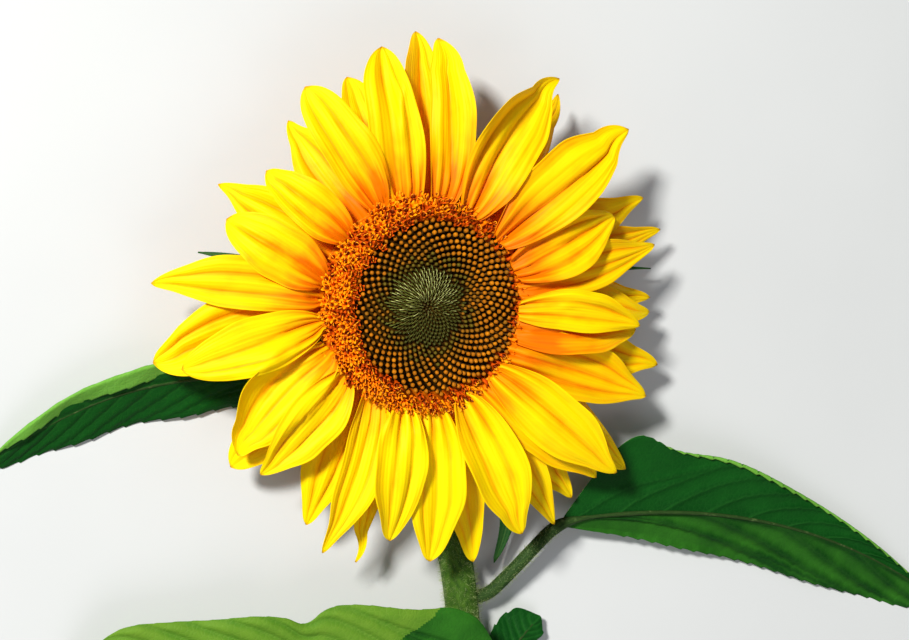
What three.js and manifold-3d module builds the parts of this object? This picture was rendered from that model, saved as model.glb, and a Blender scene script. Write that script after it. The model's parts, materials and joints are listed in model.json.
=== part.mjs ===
// A cut sunflower that lies on its back: one open bloom, its green bracts, a short hairy stem and
// four leaves. Millimetres, +Z up. The bloom faces +Z and its stem runs towards -Y along the surface
// that the flower lies on. Everything is placed from the bloom's axis, and the whole is moved at the
// end so that the origin is the middle of its underside.
import * as THREE from 'three';
import { mergeVertices } from 'three/addons/utils/BufferGeometryUtils.js';
import Module from 'manifold-3d';

const GAP = 0.3;
const WELD = 0.001;

// Head: a shallow bowl that carries a domed disc of florets. The buds stand on the dome, lower at its
// middle, and the open florets stand in a deeper ring round them that leans out over the rim.
const RIM_RADIUS = 47.5;
const RIM_HEIGHT = 46;
const RIM_BEVEL = 2;
const BOWL_BASE = { radius: 10.5, height: 26.3 };
const BOWL_KNEE = { radius: 29, height: 28.5 };
const BOWL_SHOULDER = { radius: 46.5, height: 38.5 };
const DOME_RISE = 14;
const BUD_DEPTH = { edge: 2.5, middle: 1.5 };
const BUD_BEVEL = 1;
const RING_INNER = 36;
const RING_DEPTH = { inner: 4.5, outer: 7.5 };
const RING_BEVEL = 2;
const RING_FLARE = 3.5;
const LATHE_SIDES = 24;

// Stem: a round stalk that lies on its side and turns up into the head.
const STEM_RADIUS = { cut: 8.6, head: 7.8 };
const STEM_ROUTE = [[42, -214], [42, -182], [39.5, -150], [33.5, -118], [20, -72], [3, -19]];
const STEM_SIDES = 12;
const STEM_STEPS = 10;
const NECK_RADIUS = { stem: 7.8, head: 10 };
const NECK_PULL = 11;
const NECK_STEPS = 6;

// Rays: four whorls, from the one at the back to the one in front. Each ray's row gives the bearing
// of its root, how far its tip sweeps on from there, the reach of its tip from the axis, its greatest
// width, and how far it bows to its left. Degrees and millimetres. A ray that meets another is lifted
// in small steps, its root by less than its tip.
const RAY_ROOT_WIDTH = 5;
const RAY_TIP_WIDTH = 1;
const RAY_THICKNESS = 1;
const RAY_CUP = 14;
const RAY_PEAK = 0.54;
const RAY_FULLNESS = 1.3;
const RAY_STATIONS = 6;
const RAY_ACROSS = 4;
const RAY_CLEARANCE = 0.35;
const RAY_LIFT = 0.75;
const ROOT_LIFT_SHARE = 0.3;
const WHORLS = [
  { name: 'back', root: 40.6, tip: 19, arch: 4, rays: [
    [52, 0, 128, 19, 0], [108, -3, 109, 17, 0], [124, 0, 101, 21, 2], [150, -1, 104, 20, 0],
    [216, 7, 111, 21, 0], [233, 13, 112, 20, 0], [251, 9, 123, 14, 0], [287, 0, 130, 17, 0],
    [310, 3, 130, 21, 0], [329, -4, 143, 19, 0], [344, 3, 138, 22, 0], [364, -3, 130, 17, 0],
    [379, -4, 140, 17, 0]] },
  { name: 'third', root: 42.6, tip: 26, arch: 5, rays: [
    [85, 4, 127, 19, 0], [184, 9, 123, 30, -3], [307, -1, 132, 19, 0], [335, 5, 132, 23, 1],
    [361, -3, 128, 18, 0], [387, -4, 132, 18, 0]] },
  { name: 'second', root: 44.6, tip: 33, arch: 6, rays: [
    [175, 1, 123, 21, -4], [206, 14, 107, 27, -7], [223, 4, 106, 23, 0], [244, 6, 122, 18, 4],
    [279, -4, 121, 23, 1], [313, 6, 128, 22, 0], [347, 7, 117, 19, 0], [372, 1, 129, 20, 0]] },
  { name: 'front', root: 46.6, tip: 40, arch: 6, rays: [
    [20, 3, 109, 24, 0], [38, 1, 134, 24, 0], [61, -4, 128, 29, 6], [78, 8, 124, 21, -4],
    [99, 0, 120, 26, 0], [114, 5, 113, 22, 0], [139, 1, 94, 19, 1], [166, -9, 98, 22, 0],
    [190, 5, 114, 24, 0], [262, 2, 110, 25, 0], [297, 0, 122, 27, 1], [320, 2, 131, 25, 0],
    [357, -2, 115, 23, 4]] },
];

// Bracts: two rows of pointed green blades on the back of the bowl, each row on a thin band. A row's
// seat, and its band's half width, are shares of the way up the bowl's flank.
const BRACT_THICKNESS = 1;
const BRACT_SIDE = { width: 7.5, peak: 0.3, fullness: 1.3, tilt: 0 };
const BRACT_ENDS = { root: 10.5, tip: 1 };
const BRACT_ARCH = 2;
const BRACT_STATIONS = 3;
const BRACT_ACROSS = 2;
const BRACT_LIFT = 1;
const BAND_THICKNESS = 1.2;
const BAND_HALF_WIDTH = 0.1;
const BRACT_ROWS = [
  { name: 'outer', count: 13, first: 22, seat: 0.35, reach: 88, tip: 0.6, long: {} },
  { name: 'inner', count: 13, first: 8, seat: 0.72, reach: 97, tip: 11,
    long: { 0: { reach: 135, sweep: -1 }, 6: { reach: 99, sweep: -7 }, 10: { reach: 140, sweep: 8 } } },
];

// Leaves: each has a stalk that springs from the stem's axis and is cut off at the stem's skin, and
// a blade folded along its midrib. Left and right are seen along the blade, from its root.
const LEAF_THICKNESS = 1.2;
const LEAF_ROOT_WIDTH = 6;
const LEAF_TIP_WIDTH = 1;
const LEAF_STATIONS = 8;
const LEAF_ACROSS = 4;
const STALK_SIDES = 8;
const STALK_STEPS = 6;
const STALK_RADIUS = 3.1;
const STALK_SWELL = 1.15;
const STEM_MIDDLE = 8;
const LEAVES = [
  { name: 'right_leaf', tip: [317, -163, 4], arch: 4, bow: 22,
    left: { width: 36, peak: 0.1, fullness: 1.6, tilt: 10 },
    right: { width: 26, peak: 0.58, fullness: 1.6, tilt: -21.5 },
    stalk: [[38, -154, STEM_MIDDLE], [52, -145, 10], [66, -131, 13], [80, -116, 15], [89, -109, 15]] },
  { name: 'left_leaf', tip: [-192, -78, 2.5], arch: 5, bow: -17,
    left: { width: 20, peak: 0.42, fullness: 1.1, tilt: -29 },
    right: { width: 12, peak: 0.4, fullness: 1.1, tilt: 32 },
    stalk: [[12, -47, STEM_MIDDLE], [-6, -40, 9], [-28, -36, 10], [-50, -39, 10]] },
  { name: 'front_leaf', tip: [-152, -172, 12], arch: 9, bow: -4,
    left: { width: 30, peak: 0.4, fullness: 0.8, tilt: -16 },
    right: { width: 28, peak: 0.4, fullness: 0.55, tilt: 6 },
    stalk: [[42, -206, STEM_MIDDLE], [51, -203, 18], [60, -192, 25], [60, -181, 27.5], [53, -176, 28]] },
  { name: 'small_leaf', tip: [82, -158, 6.5], arch: 1, bow: 2,
    left: { width: 15, peak: 0.62, fullness: 1, tilt: -6 },
    right: { width: 10, peak: 0.45, fullness: 0.9, tilt: -10 },
    stalk: [[42, -204, STEM_MIDDLE], [49, -201, 7], [54, -195, 6.5], [57, -190, 6.5]] },
];

const finish = (color, roughness) => ({ color, roughness, metalness: 0 });
const STEM_FINISH = finish(0x5f7a35, 0.8);
const LEAF_FINISH = finish(0x1f5a22, 0.6);
const BRACT_FINISH = finish(0x3d6b2c, 0.7);
const RAY_FINISH = finish(0xf7cf10, 0.55);
const DISC_FINISH = finish(0x6a4516, 0.85);
const RING_FINISH = finish(0xb4570f, 0.85);

const wasm = await Module();
wasm.setup();

function welded(geometry) {
  geometry.deleteAttribute('normal');
  geometry.deleteAttribute('uv');
  return mergeVertices(geometry, WELD);
}

function toSolid(geometry) {
  const skin = welded(geometry);
  return new wasm.Manifold(new wasm.Mesh({
    numProp: 3,
    vertProperties: new Float32Array(skin.attributes.position.array),
    triVerts: new Uint32Array(skin.index.array),
  }));
}

function toGeometry(solid) {
  const { vertProperties, triVerts } = solid.getMesh();
  const geometry = new THREE.BufferGeometry();
  geometry.setAttribute('position', new THREE.BufferAttribute(vertProperties, 3));
  geometry.setIndex(new THREE.BufferAttribute(triVerts, 1));
  return geometry;
}

const model = new THREE.Group();

function addPiece(name, geometry, look) {
  const skin = welded(geometry);
  skin.computeVertexNormals();
  const piece = new THREE.Mesh(skin, new THREE.MeshStandardMaterial(look));
  piece.name = name;
  model.add(piece);
}

const radians = THREE.MathUtils.degToRad;
const hump = (t) => 4 * t * (1 - t);

function onBearing(bearing, radius, height) {
  return new THREE.Vector3(
    radius * Math.cos(radians(bearing)),
    radius * Math.sin(radians(bearing)),
    height,
  );
}

// The width of a leaf's or petal's outline at t, from 0 at both ends to 1 at its peak.
function outline(t, peak, fullness) {
  const rise = (t / peak) ** peak;
  const fall = ((1 - t) / (1 - peak)) ** (1 - peak);
  return (rise * fall) ** fullness;
}

// A thin blade from its root to its tip. Every station is square to the line between them, and the
// stations crowd towards both ends. The arch lifts the blade's middle, the bow swings it to its left,
// and each half has its own outline and tilt. A fold of 1 creases the blade along its midrib, and a
// fold of 2 rounds it into a trough.
function blade({ root, tip, arch, bow, left, right, ends, thickness, stations, across, fold }) {
  const chord = tip.clone().sub(root);
  const forward = chord.clone().normalize();
  const side = new THREE.Vector3(0, 0, 1).cross(forward).normalize();
  const up = forward.clone().cross(side);
  const crowding = 0.07;
  const geometry = new THREE.BoxGeometry(1, 1, 1, stations, across, 1);
  const points = geometry.attributes.position;
  for (let i = 0; i < points.count; i += 1) {
    const step = points.getX(i) + 0.5;
    const t = THREE.MathUtils.clamp(step - crowding * Math.sin(2 * Math.PI * step), 0, 1);
    const v = points.getY(i) * 2;
    const half = v < 0 ? right : left;
    const tapers = (ends.root * (1 - t) ** 4 + ends.tip * t ** 4) / 2;
    const edge = half.width * outline(t, half.peak, half.fullness) + tapers;
    const rise = Math.sin(radians(half.tilt)) * edge * Math.abs(v) ** fold;
    const spread = Math.cos(radians(half.tilt)) * edge * v;
    const point = root.clone()
      .addScaledVector(chord, t)
      .addScaledVector(up, arch * hump(t) + rise + points.getZ(i) * thickness)
      .addScaledVector(side, bow * hump(t) + spread);
    points.setXYZ(i, point.x, point.y, point.z);
  }
  return geometry;
}

// A round limb along a curve, with flat ends, whose radius changes evenly from its start to its end.
function limb(curve, startRadius, endRadius, sides, steps) {
  const frames = curve.computeFrenetFrames(steps, false);
  const geometry = new THREE.CylinderGeometry(1, 1, 1, sides, steps);
  const points = geometry.attributes.position;
  for (let i = 0; i < points.count; i += 1) {
    const t = points.getY(i) + 0.5;
    const station = Math.round(t * steps);
    const radius = THREE.MathUtils.lerp(startRadius, endRadius, t);
    const point = curve.getPointAt(t)
      .addScaledVector(frames.normals[station], points.getX(i) * radius)
      .addScaledVector(frames.binormals[station], -points.getZ(i) * radius);
    points.setXYZ(i, point.x, point.y, point.z);
  }
  return geometry;
}

function lathe(profile) {
  const points = profile.map(([radius, height]) => new THREE.Vector2(radius, height));
  return new THREE.LatheGeometry(points, LATHE_SIDES).rotateX(Math.PI / 2);
}

// Lifts a blade step by step until it clears every solid that is already there.
function settled(build, step, obstacles) {
  for (let lift = 0; ; lift += step) {
    const geometry = build(lift);
    const solid = toSolid(geometry.clone());
    if (obstacles.every((other) => solid.minGap(other, RAY_CLEARANCE) >= RAY_CLEARANCE)) {
      return { geometry, solid };
    }
  }
}

// Stem and neck.
const stemHeight = (t) => THREE.MathUtils.lerp(STEM_RADIUS.cut, STEM_RADIUS.head, t);
const stemPoints = STEM_ROUTE.map(([x, y], i) => (
  new THREE.Vector3(x, y, stemHeight(i / (STEM_ROUTE.length - 1)))
));
const stemCurve = new THREE.CatmullRomCurve3(stemPoints, false, 'centripetal');

function stemSkin(extra) {
  const { cut, head } = STEM_RADIUS;
  return limb(stemCurve, cut + extra, head + extra, STEM_SIDES, STEM_STEPS);
}

function neckCurve() {
  const stemEnd = stemCurve.getPointAt(1);
  const heading = stemCurve.getTangentAt(1);
  const start = stemEnd.clone().addScaledVector(heading, GAP);
  const end = new THREE.Vector3(0, 0, BOWL_BASE.height - GAP);
  const below = end.clone().setZ(end.z - NECK_PULL);
  return new THREE.CubicBezierCurve3(start, start.clone().addScaledVector(heading, NECK_PULL), below, end);
}

const stemSolid = toSolid(stemSkin(0));
const neckGeometry = limb(neckCurve(), NECK_RADIUS.stem, NECK_RADIUS.head, STEM_SIDES, NECK_STEPS);
const neckSolid = toSolid(neckGeometry.clone());
addPiece('stem', stemSkin(0), STEM_FINISH);
addPiece('neck', neckGeometry, STEM_FINISH);

// Leaves. The stalk is cut back from the stem and from the blade by the gap.
function leafPieces({ name, tip, arch, bow, left, right, stalk }) {
  const curve = new THREE.CatmullRomCurve3(stalk.map((point) => new THREE.Vector3(...point)));
  const root = curve.getPointAt(1);
  const tipPoint = new THREE.Vector3(...tip);
  const bladeSkin = (extra) => blade({
    root: root.clone().add(root.clone().sub(tipPoint).setLength(extra)),
    tip: tipPoint, arch, bow, left, right,
    ends: { root: LEAF_ROOT_WIDTH + 2 * extra, tip: LEAF_TIP_WIDTH },
    thickness: LEAF_THICKNESS + 2 * extra,
    stations: LEAF_STATIONS, across: LEAF_ACROSS, fold: 1,
  });
  const stalkSolid = toSolid(limb(curve, STALK_RADIUS * STALK_SWELL, STALK_RADIUS, STALK_SIDES, STALK_STEPS))
    .subtract(toSolid(stemSkin(GAP)))
    .subtract(toSolid(bladeSkin(GAP)));
  addPiece(`${name}_stalk`, toGeometry(stalkSolid), STEM_FINISH);
  addPiece(`${name}_blade`, bladeSkin(0), LEAF_FINISH);
  return [stalkSolid, toSolid(bladeSkin(0))];
}

const greenery = [stemSolid, neckSolid, ...LEAVES.flatMap(leafPieces)];

// Head: bowl, domed disc of buds, and the raised ring of open florets round it.
const domeHeight = (radius) => RIM_HEIGHT + DOME_RISE * (1 - (radius / RIM_RADIUS) ** 2);
const onDome = (radius, lift) => [radius, domeHeight(radius) + lift];

addPiece('receptacle', lathe([
  [0, BOWL_BASE.height],
  [BOWL_BASE.radius, BOWL_BASE.height],
  [BOWL_KNEE.radius, BOWL_KNEE.height],
  [BOWL_SHOULDER.radius, BOWL_SHOULDER.height],
  [RIM_RADIUS, BOWL_SHOULDER.height + RIM_BEVEL],
  [RIM_RADIUS, RIM_HEIGHT - GAP],
  [0, RIM_HEIGHT - GAP],
]), BRACT_FINISH);

addPiece('disc_dome', lathe([
  [0, RIM_HEIGHT],
  [RING_INNER, RIM_HEIGHT],
  onDome(RING_INNER, 0),
  onDome(RING_INNER - BUD_BEVEL, BUD_DEPTH.edge),
  onDome(RIM_RADIUS / 2, BUD_DEPTH.edge),
  onDome(RIM_RADIUS / 4, BUD_DEPTH.edge),
  onDome(0, BUD_DEPTH.middle),
]), DISC_FINISH);

const ringInner = RING_INNER + GAP;
addPiece('floret_ring', lathe([
  [ringInner, RIM_HEIGHT],
  [RIM_RADIUS - GAP, RIM_HEIGHT],
  [RIM_RADIUS, RIM_HEIGHT + RING_FLARE],
  [RIM_RADIUS + RING_FLARE, RIM_HEIGHT + RING_DEPTH.outer],
  onDome(RIM_RADIUS - RING_FLARE, RING_DEPTH.outer),
  onDome(ringInner + RING_BEVEL, RING_DEPTH.outer),
  onDome(ringInner, RING_DEPTH.inner),
  [ringInner, RIM_HEIGHT],
]), RING_FINISH);

// Bracts: a row is a thin band parallel to the bowl's flank, joined to its blades.
const flank = (share) => new THREE.Vector2(
  THREE.MathUtils.lerp(BOWL_KNEE.radius, BOWL_SHOULDER.radius, share),
  THREE.MathUtils.lerp(BOWL_KNEE.height, BOWL_SHOULDER.height, share),
);
const flankNormal = (() => {
  const along = flank(1).sub(flank(0)).normalize();
  return new THREE.Vector2(along.y, -along.x);
})();
const bandPoint = (share, offset) => flank(share).addScaledVector(flankNormal, offset).toArray();

function bractRow({ name, count, first, seat, reach, tip, long }, obstacles) {
  const inside = GAP;
  const outside = GAP + BAND_THICKNESS;
  const corners = [
    bandPoint(seat - BAND_HALF_WIDTH, outside),
    bandPoint(seat + BAND_HALF_WIDTH, outside),
    bandPoint(seat + BAND_HALF_WIDTH, inside),
    bandPoint(seat - BAND_HALF_WIDTH, inside),
  ];
  let row = toSolid(lathe([...corners, corners[0]]));
  const [rootRadius, rootHeight] = bandPoint(seat, GAP + BAND_THICKNESS / 2);
  for (let i = 0; i < count; i += 1) {
    const bearing = first + (i * 360) / count;
    const own = long[i] ?? { reach, sweep: 0 };
    const build = (lift) => blade({
      root: onBearing(bearing, rootRadius, rootHeight),
      tip: onBearing(bearing + own.sweep, own.reach, tip + lift),
      arch: BRACT_ARCH, bow: 0, left: BRACT_SIDE, right: BRACT_SIDE, ends: BRACT_ENDS,
      thickness: BRACT_THICKNESS, stations: BRACT_STATIONS, across: BRACT_ACROSS, fold: 2,
    });
    row = row.add(settled(build, BRACT_LIFT, obstacles).solid);
  }
  addPiece(`bracts_${name}`, toGeometry(row), BRACT_FINISH);
  return row;
}

const inTheWay = [...greenery];
for (const row of BRACT_ROWS) {
  inTheWay.push(bractRow(row, inTheWay));
}

// Rays, from the back whorl to the front one. A ray that leans to one side starts a little further
// out, so that the corner of its root clears the rim.
function rayRootRadius(sweep, reach) {
  const aside = reach * Math.sin(radians(sweep));
  const outwards = reach * Math.cos(radians(sweep)) - RIM_RADIUS;
  return RIM_RADIUS + GAP + (Math.abs(Math.sin(Math.atan2(aside, outwards))) * RAY_ROOT_WIDTH) / 2;
}

for (const { name, root, tip, arch, rays } of WHORLS) {
  rays.forEach(([bearing, sweep, reach, width, bow], i) => {
    const side = { width: width / 2, peak: RAY_PEAK, fullness: RAY_FULLNESS, tilt: -RAY_CUP };
    const build = (lift) => blade({
      root: onBearing(bearing, rayRootRadius(sweep, reach), root + lift * ROOT_LIFT_SHARE),
      tip: onBearing(bearing + sweep, reach, tip + lift),
      arch, bow, left: side, right: side,
      ends: { root: RAY_ROOT_WIDTH, tip: RAY_TIP_WIDTH },
      thickness: RAY_THICKNESS, stations: RAY_STATIONS, across: RAY_ACROSS, fold: 2,
    });
    const { geometry, solid } = settled(build, RAY_LIFT, inTheWay);
    addPiece(`${name}_petal_${i + 1}`, geometry, RAY_FINISH);
    inTheWay.push(solid);
  });
}

const extent = new THREE.Box3().setFromObject(model);
const middle = extent.getCenter(new THREE.Vector3());
model.position.set(-middle.x, -middle.y, -extent.min.z);

export default model;
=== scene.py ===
import json
import math
from types import SimpleNamespace

import bpy
import numpy as np
from mathutils import Matrix, Vector
from mathutils.bvhtree import BVHTree


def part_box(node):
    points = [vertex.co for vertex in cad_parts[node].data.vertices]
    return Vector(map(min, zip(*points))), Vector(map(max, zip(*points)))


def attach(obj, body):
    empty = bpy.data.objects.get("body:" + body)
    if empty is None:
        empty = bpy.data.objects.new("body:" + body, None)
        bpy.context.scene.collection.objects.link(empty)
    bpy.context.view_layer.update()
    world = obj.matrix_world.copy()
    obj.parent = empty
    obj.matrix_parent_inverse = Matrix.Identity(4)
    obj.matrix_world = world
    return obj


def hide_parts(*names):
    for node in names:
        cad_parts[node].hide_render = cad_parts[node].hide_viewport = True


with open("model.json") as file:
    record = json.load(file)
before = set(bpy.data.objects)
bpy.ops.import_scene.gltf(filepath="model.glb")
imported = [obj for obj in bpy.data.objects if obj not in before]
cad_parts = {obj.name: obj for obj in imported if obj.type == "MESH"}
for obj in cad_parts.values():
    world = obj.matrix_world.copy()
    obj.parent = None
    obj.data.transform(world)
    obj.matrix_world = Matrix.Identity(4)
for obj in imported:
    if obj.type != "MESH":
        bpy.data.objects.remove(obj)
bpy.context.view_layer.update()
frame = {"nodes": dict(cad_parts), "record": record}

# A cut sunflower lying on its back: ray petals in four whorls, a disc of florets, bracts, four leaves
# and a hairy stem. Lengths are in metres, and MM turns millimetres into them.
MM = 0.001
SEED = 2024
FULL_TURN = 2 * math.pi
GOLDEN_ANGLE = math.pi * (3 - math.sqrt(5))
UP = np.array([0.0, 0.0, 1.0])
ALONG_X = np.array([1.0, 0.0, 0.0])
rng = np.random.default_rng(SEED)


# ---- small sums

def unit(vectors):
    return vectors / np.maximum(np.linalg.norm(vectors, axis=-1, keepdims=True), 1e-12)


def smoothstep(low, high, value):
    """0 below the low value and 1 above the high one, with a smooth climb between them."""
    share = np.clip((value - low) / (high - low), 0, 1)
    return share * share * (3 - 2 * share)


def fade(low, high, value):
    """1 below the low value and 0 above the high one."""
    return 1 - smoothstep(low, high, value)


def hump(value, spread):
    """1 at zero, falling to almost nothing two spreads away from it."""
    return np.exp(-(value / spread) ** 2)


def circle(sides):
    """The angles of that many equal steps round a circle."""
    return np.linspace(0, FULL_TURN, sides, endpoint=False)


def run_along(points):
    """How far along a line each of its points is."""
    return np.concatenate([[0], np.cumsum(np.linalg.norm(np.diff(points, axis=0), axis=1))])


def name_seed(name):
    """A number of its own for each name, the same in every run."""
    return sum((i + 7) ** 2 * ord(letter) * 31 for i, letter in enumerate(name))


def phase(dice):
    """Where a wave starts, in radians."""
    return dice.uniform(0, 6)


def spline(knots, values, at):
    """A natural cubic spline through the values, one row for each knot."""
    gaps = np.diff(knots)
    slopes = np.diff(values, axis=0) / gaps[:, None]
    matrix = np.eye(len(knots))
    right = np.zeros_like(values)
    for i in range(1, len(knots) - 1):
        matrix[i, i - 1:i + 2] = gaps[i - 1], 2 * (gaps[i - 1] + gaps[i]), gaps[i]
        right[i] = 6 * (slopes[i] - slopes[i - 1])
    bends = np.linalg.solve(matrix, right)
    k = np.clip(np.searchsorted(knots, at) - 1, 0, len(knots) - 2)
    b = ((at - knots[k]) / gaps[k])[..., None]
    a = 1 - b
    bent = (a ** 3 - a) * bends[k] + (b ** 3 - b) * bends[k + 1]
    return a * values[k] + b * values[k + 1] + bent * (gaps[k] ** 2 / 6)[..., None]


# ---- reading the frame

ORDER_PASSES = 3


def cad_corners(node):
    """The corners of a CAD node, each once, and the edges between them."""
    mesh = frame["nodes"][node].data
    flat = np.empty(len(mesh.vertices) * 3)
    mesh.vertices.foreach_get("co", flat)
    points, place = np.unique(np.round(flat.reshape(-1, 3), 5), axis=0, return_inverse=True)
    edges = np.empty(len(mesh.edges) * 2, dtype=int)
    mesh.edges.foreach_get("vertices", edges)
    return points, place.reshape(-1)[edges.reshape(-1, 2)]


class Blade:
    """A petal or leaf of the frame: its middle line, its two edges and its own directions."""

    def __init__(self, node, hub, stations):
        points = cad_corners(node)[0]
        each = len(points) // stations
        points = points[np.argsort(np.linalg.norm(points - hub, axis=1))]
        root, tip = points[:each].mean(0), points[-each:].mean(0)
        for _ in range(ORDER_PASSES):
            order = np.argsort((points - root) @ (tip - root))
            rows = points[order].reshape(stations, each, 3)
            root, tip = rows[0].mean(0), rows[-1].mean(0)
        chord = tip - root
        self.forward = unit(chord)
        self.side = unit(np.cross(UP, self.forward))
        self.up = np.cross(self.forward, self.side)
        order = np.argsort(rows @ self.side, axis=1)
        rows = np.take_along_axis(rows, order[..., None], axis=1)
        middle = rows.reshape(stations, each // 2, 2, 3).mean(2)
        centre = middle[:, each // 4]
        self.length = float(np.linalg.norm(chord))
        self.knots = (centre - root) @ self.forward / self.length
        self.line = [np.polyfit(self.knots, centre[:, axis], 2) for axis in range(3)]
        self.right_edge = middle[:, 0] - centre
        self.left_edge = middle[:, -1] - centre
        self.half_right = float(np.linalg.norm(self.right_edge, axis=1).max())
        self.half_left = float(np.linalg.norm(self.left_edge, axis=1).max())

    def centre(self, t):
        return np.stack([np.polyval(line, t) for line in self.line], axis=-1)


def centre_line(node, start, steps, near, far):
    """Middle points and radii of a limb of the frame, where spheres round its start cut it."""
    points, edges = cad_corners(node)
    reach = np.linalg.norm(points - start, axis=1)
    low, high = reach.min(), reach.max()
    one, two = points[edges[:, 0]], points[edges[:, 1]]
    near_end, far_end = reach[edges[:, 0]], reach[edges[:, 1]]
    middles, radii = [], []
    for share in np.linspace(near, far, steps):
        cut = low + (high - low) * share
        crossing = (near_end - cut) * (far_end - cut) < 0
        part = ((cut - near_end) / np.where(crossing, far_end - near_end, 1))[crossing, None]
        ring = one[crossing] + (two - one)[crossing] * part
        middles.append((ring.min(0) + ring.max(0)) / 2)
        radii.append(np.median(np.linalg.norm(ring - middles[-1], axis=1)))
    return np.array(middles), np.array(radii)


# ---- meshes

class Build:
    """Collects points, faces, material numbers and point values, then makes one mesh object."""

    def __init__(self):
        self.points, self.faces, self.finishes, self.layers = [], [], [], []
        self.count = 0

    def add(self, points, faces, finish=0, **layers):
        self.points.append(points.reshape(-1, 3))
        self.faces.append(faces + self.count)
        self.finishes.append(np.broadcast_to(finish, len(faces)))
        here = len(self.points[-1])
        self.layers.append({key: np.broadcast_to(np.ravel(value), here) for key, value in layers.items()})
        self.count += here

    def make(self, name, slot, materials, *replaced):
        mesh = bpy.data.meshes.new(name)
        mesh.from_pydata(np.concatenate(self.points), [], np.concatenate(self.faces).tolist())
        mesh.polygons.foreach_set("material_index", np.concatenate(self.finishes).astype(np.int32))
        mesh.polygons.foreach_set("use_smooth", np.ones(len(mesh.polygons), dtype=bool))
        for key in self.layers[0]:
            layer = mesh.attributes.new(key, "FLOAT", "POINT")
            values = np.concatenate([part[key] for part in self.layers])
            layer.data.foreach_set("value", values.astype(np.float32))
        for material in materials:
            mesh.materials.append(material)
        mesh.update()
        piece = bpy.data.objects.new(name, mesh)
        bpy.context.scene.collection.objects.link(piece)
        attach(piece, "root")
        if replaced:
            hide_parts(*replaced)


def grid_faces(rows, columns, wrap=False):
    """Quads of a grid of points, whose second direction may close on itself."""
    index = np.arange(rows * columns).reshape(rows, columns)
    if wrap:
        index = np.concatenate([index, index[:, :1]], axis=1)
    corners = index[:-1, :-1], index[1:, :-1], index[1:, 1:], index[:-1, 1:]
    return np.stack([corner.ravel() for corner in corners], axis=1)


def shell(grid, half):
    """The points and faces of a closed skin round a grid of points, at half its thickness to each side."""
    rows, columns = grid.shape[:2]
    normal = unit(np.cross(np.gradient(grid, axis=0), np.gradient(grid, axis=1)))
    points = np.concatenate([grid + normal * half[..., None], grid - normal * half[..., None]]).reshape(-1, 3)
    top = grid_faces(rows, columns)
    index = np.arange(rows * columns).reshape(rows, columns)
    loop = np.concatenate([index[:, 0], index[-1, 1:], index[-2::-1, -1], index[0, -2:0:-1]])
    after, below = np.roll(loop, -1), rows * columns
    rim = np.stack([loop + below, after + below, after, loop], axis=1)
    return points, np.concatenate([top, top[:, ::-1] + below, rim])


def rings_round(rows, sides):
    """How far along a skin made of rings each of its points is, from 0 to 1, and its angle round it."""
    return np.meshgrid(np.linspace(0, 1, rows), circle(sides), indexing="ij")


def both_sides(**layers):
    """Values of a grid of points, for both sides of the shell round it."""
    return {key: np.tile(layer.ravel(), 2) for key, layer in layers.items()}


def frames_along(line):
    """Directions along and across a smooth line of points, which turn with it and don't spin."""
    forward = unit(np.gradient(line, axis=0))
    first = np.cross(forward[0], UP)
    if np.linalg.norm(first) < 0.1:
        first = ALONG_X
    across = []
    for direction in forward:
        first = unit(first - direction * (first @ direction))
        across.append(first)
    across = np.array(across)
    return forward, across, np.cross(forward, across)


def tube(line, radii, sides):
    """Rings of points round a line, whose radii may differ round each ring."""
    _, across, other = frames_along(line)
    angle = circle(sides)[:, None]
    ring = np.cos(angle) * across[:, None] + np.sin(angle) * other[:, None]
    return line[:, None] + ring * radii[..., None]


# ---- materials

NOISE_ROUGHNESS = 0.55
SPECKLE_DEPTH = 0.05 * MM
PETAL_TONES = (
    (0.0, (0.84, 0.20, 0.0)), (0.25, (0.92, 0.38, 0.0)), (0.50, (0.95, 0.57, 0.0)),
    (0.72, (0.97, 0.71, 0.0)), (1.0, (0.98, 0.82, 0.0)),
)
PETAL_TIP = (0.66, 0.30, 0.01)
PETAL_GLOW = (0.99, 0.46, 0.0)
STEM_FLECK = (0.20, 0.28, 0.10)
FLOOR_TONES = ((0.50, 0.52, 0.54), (0.54, 0.56, 0.58))


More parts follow.
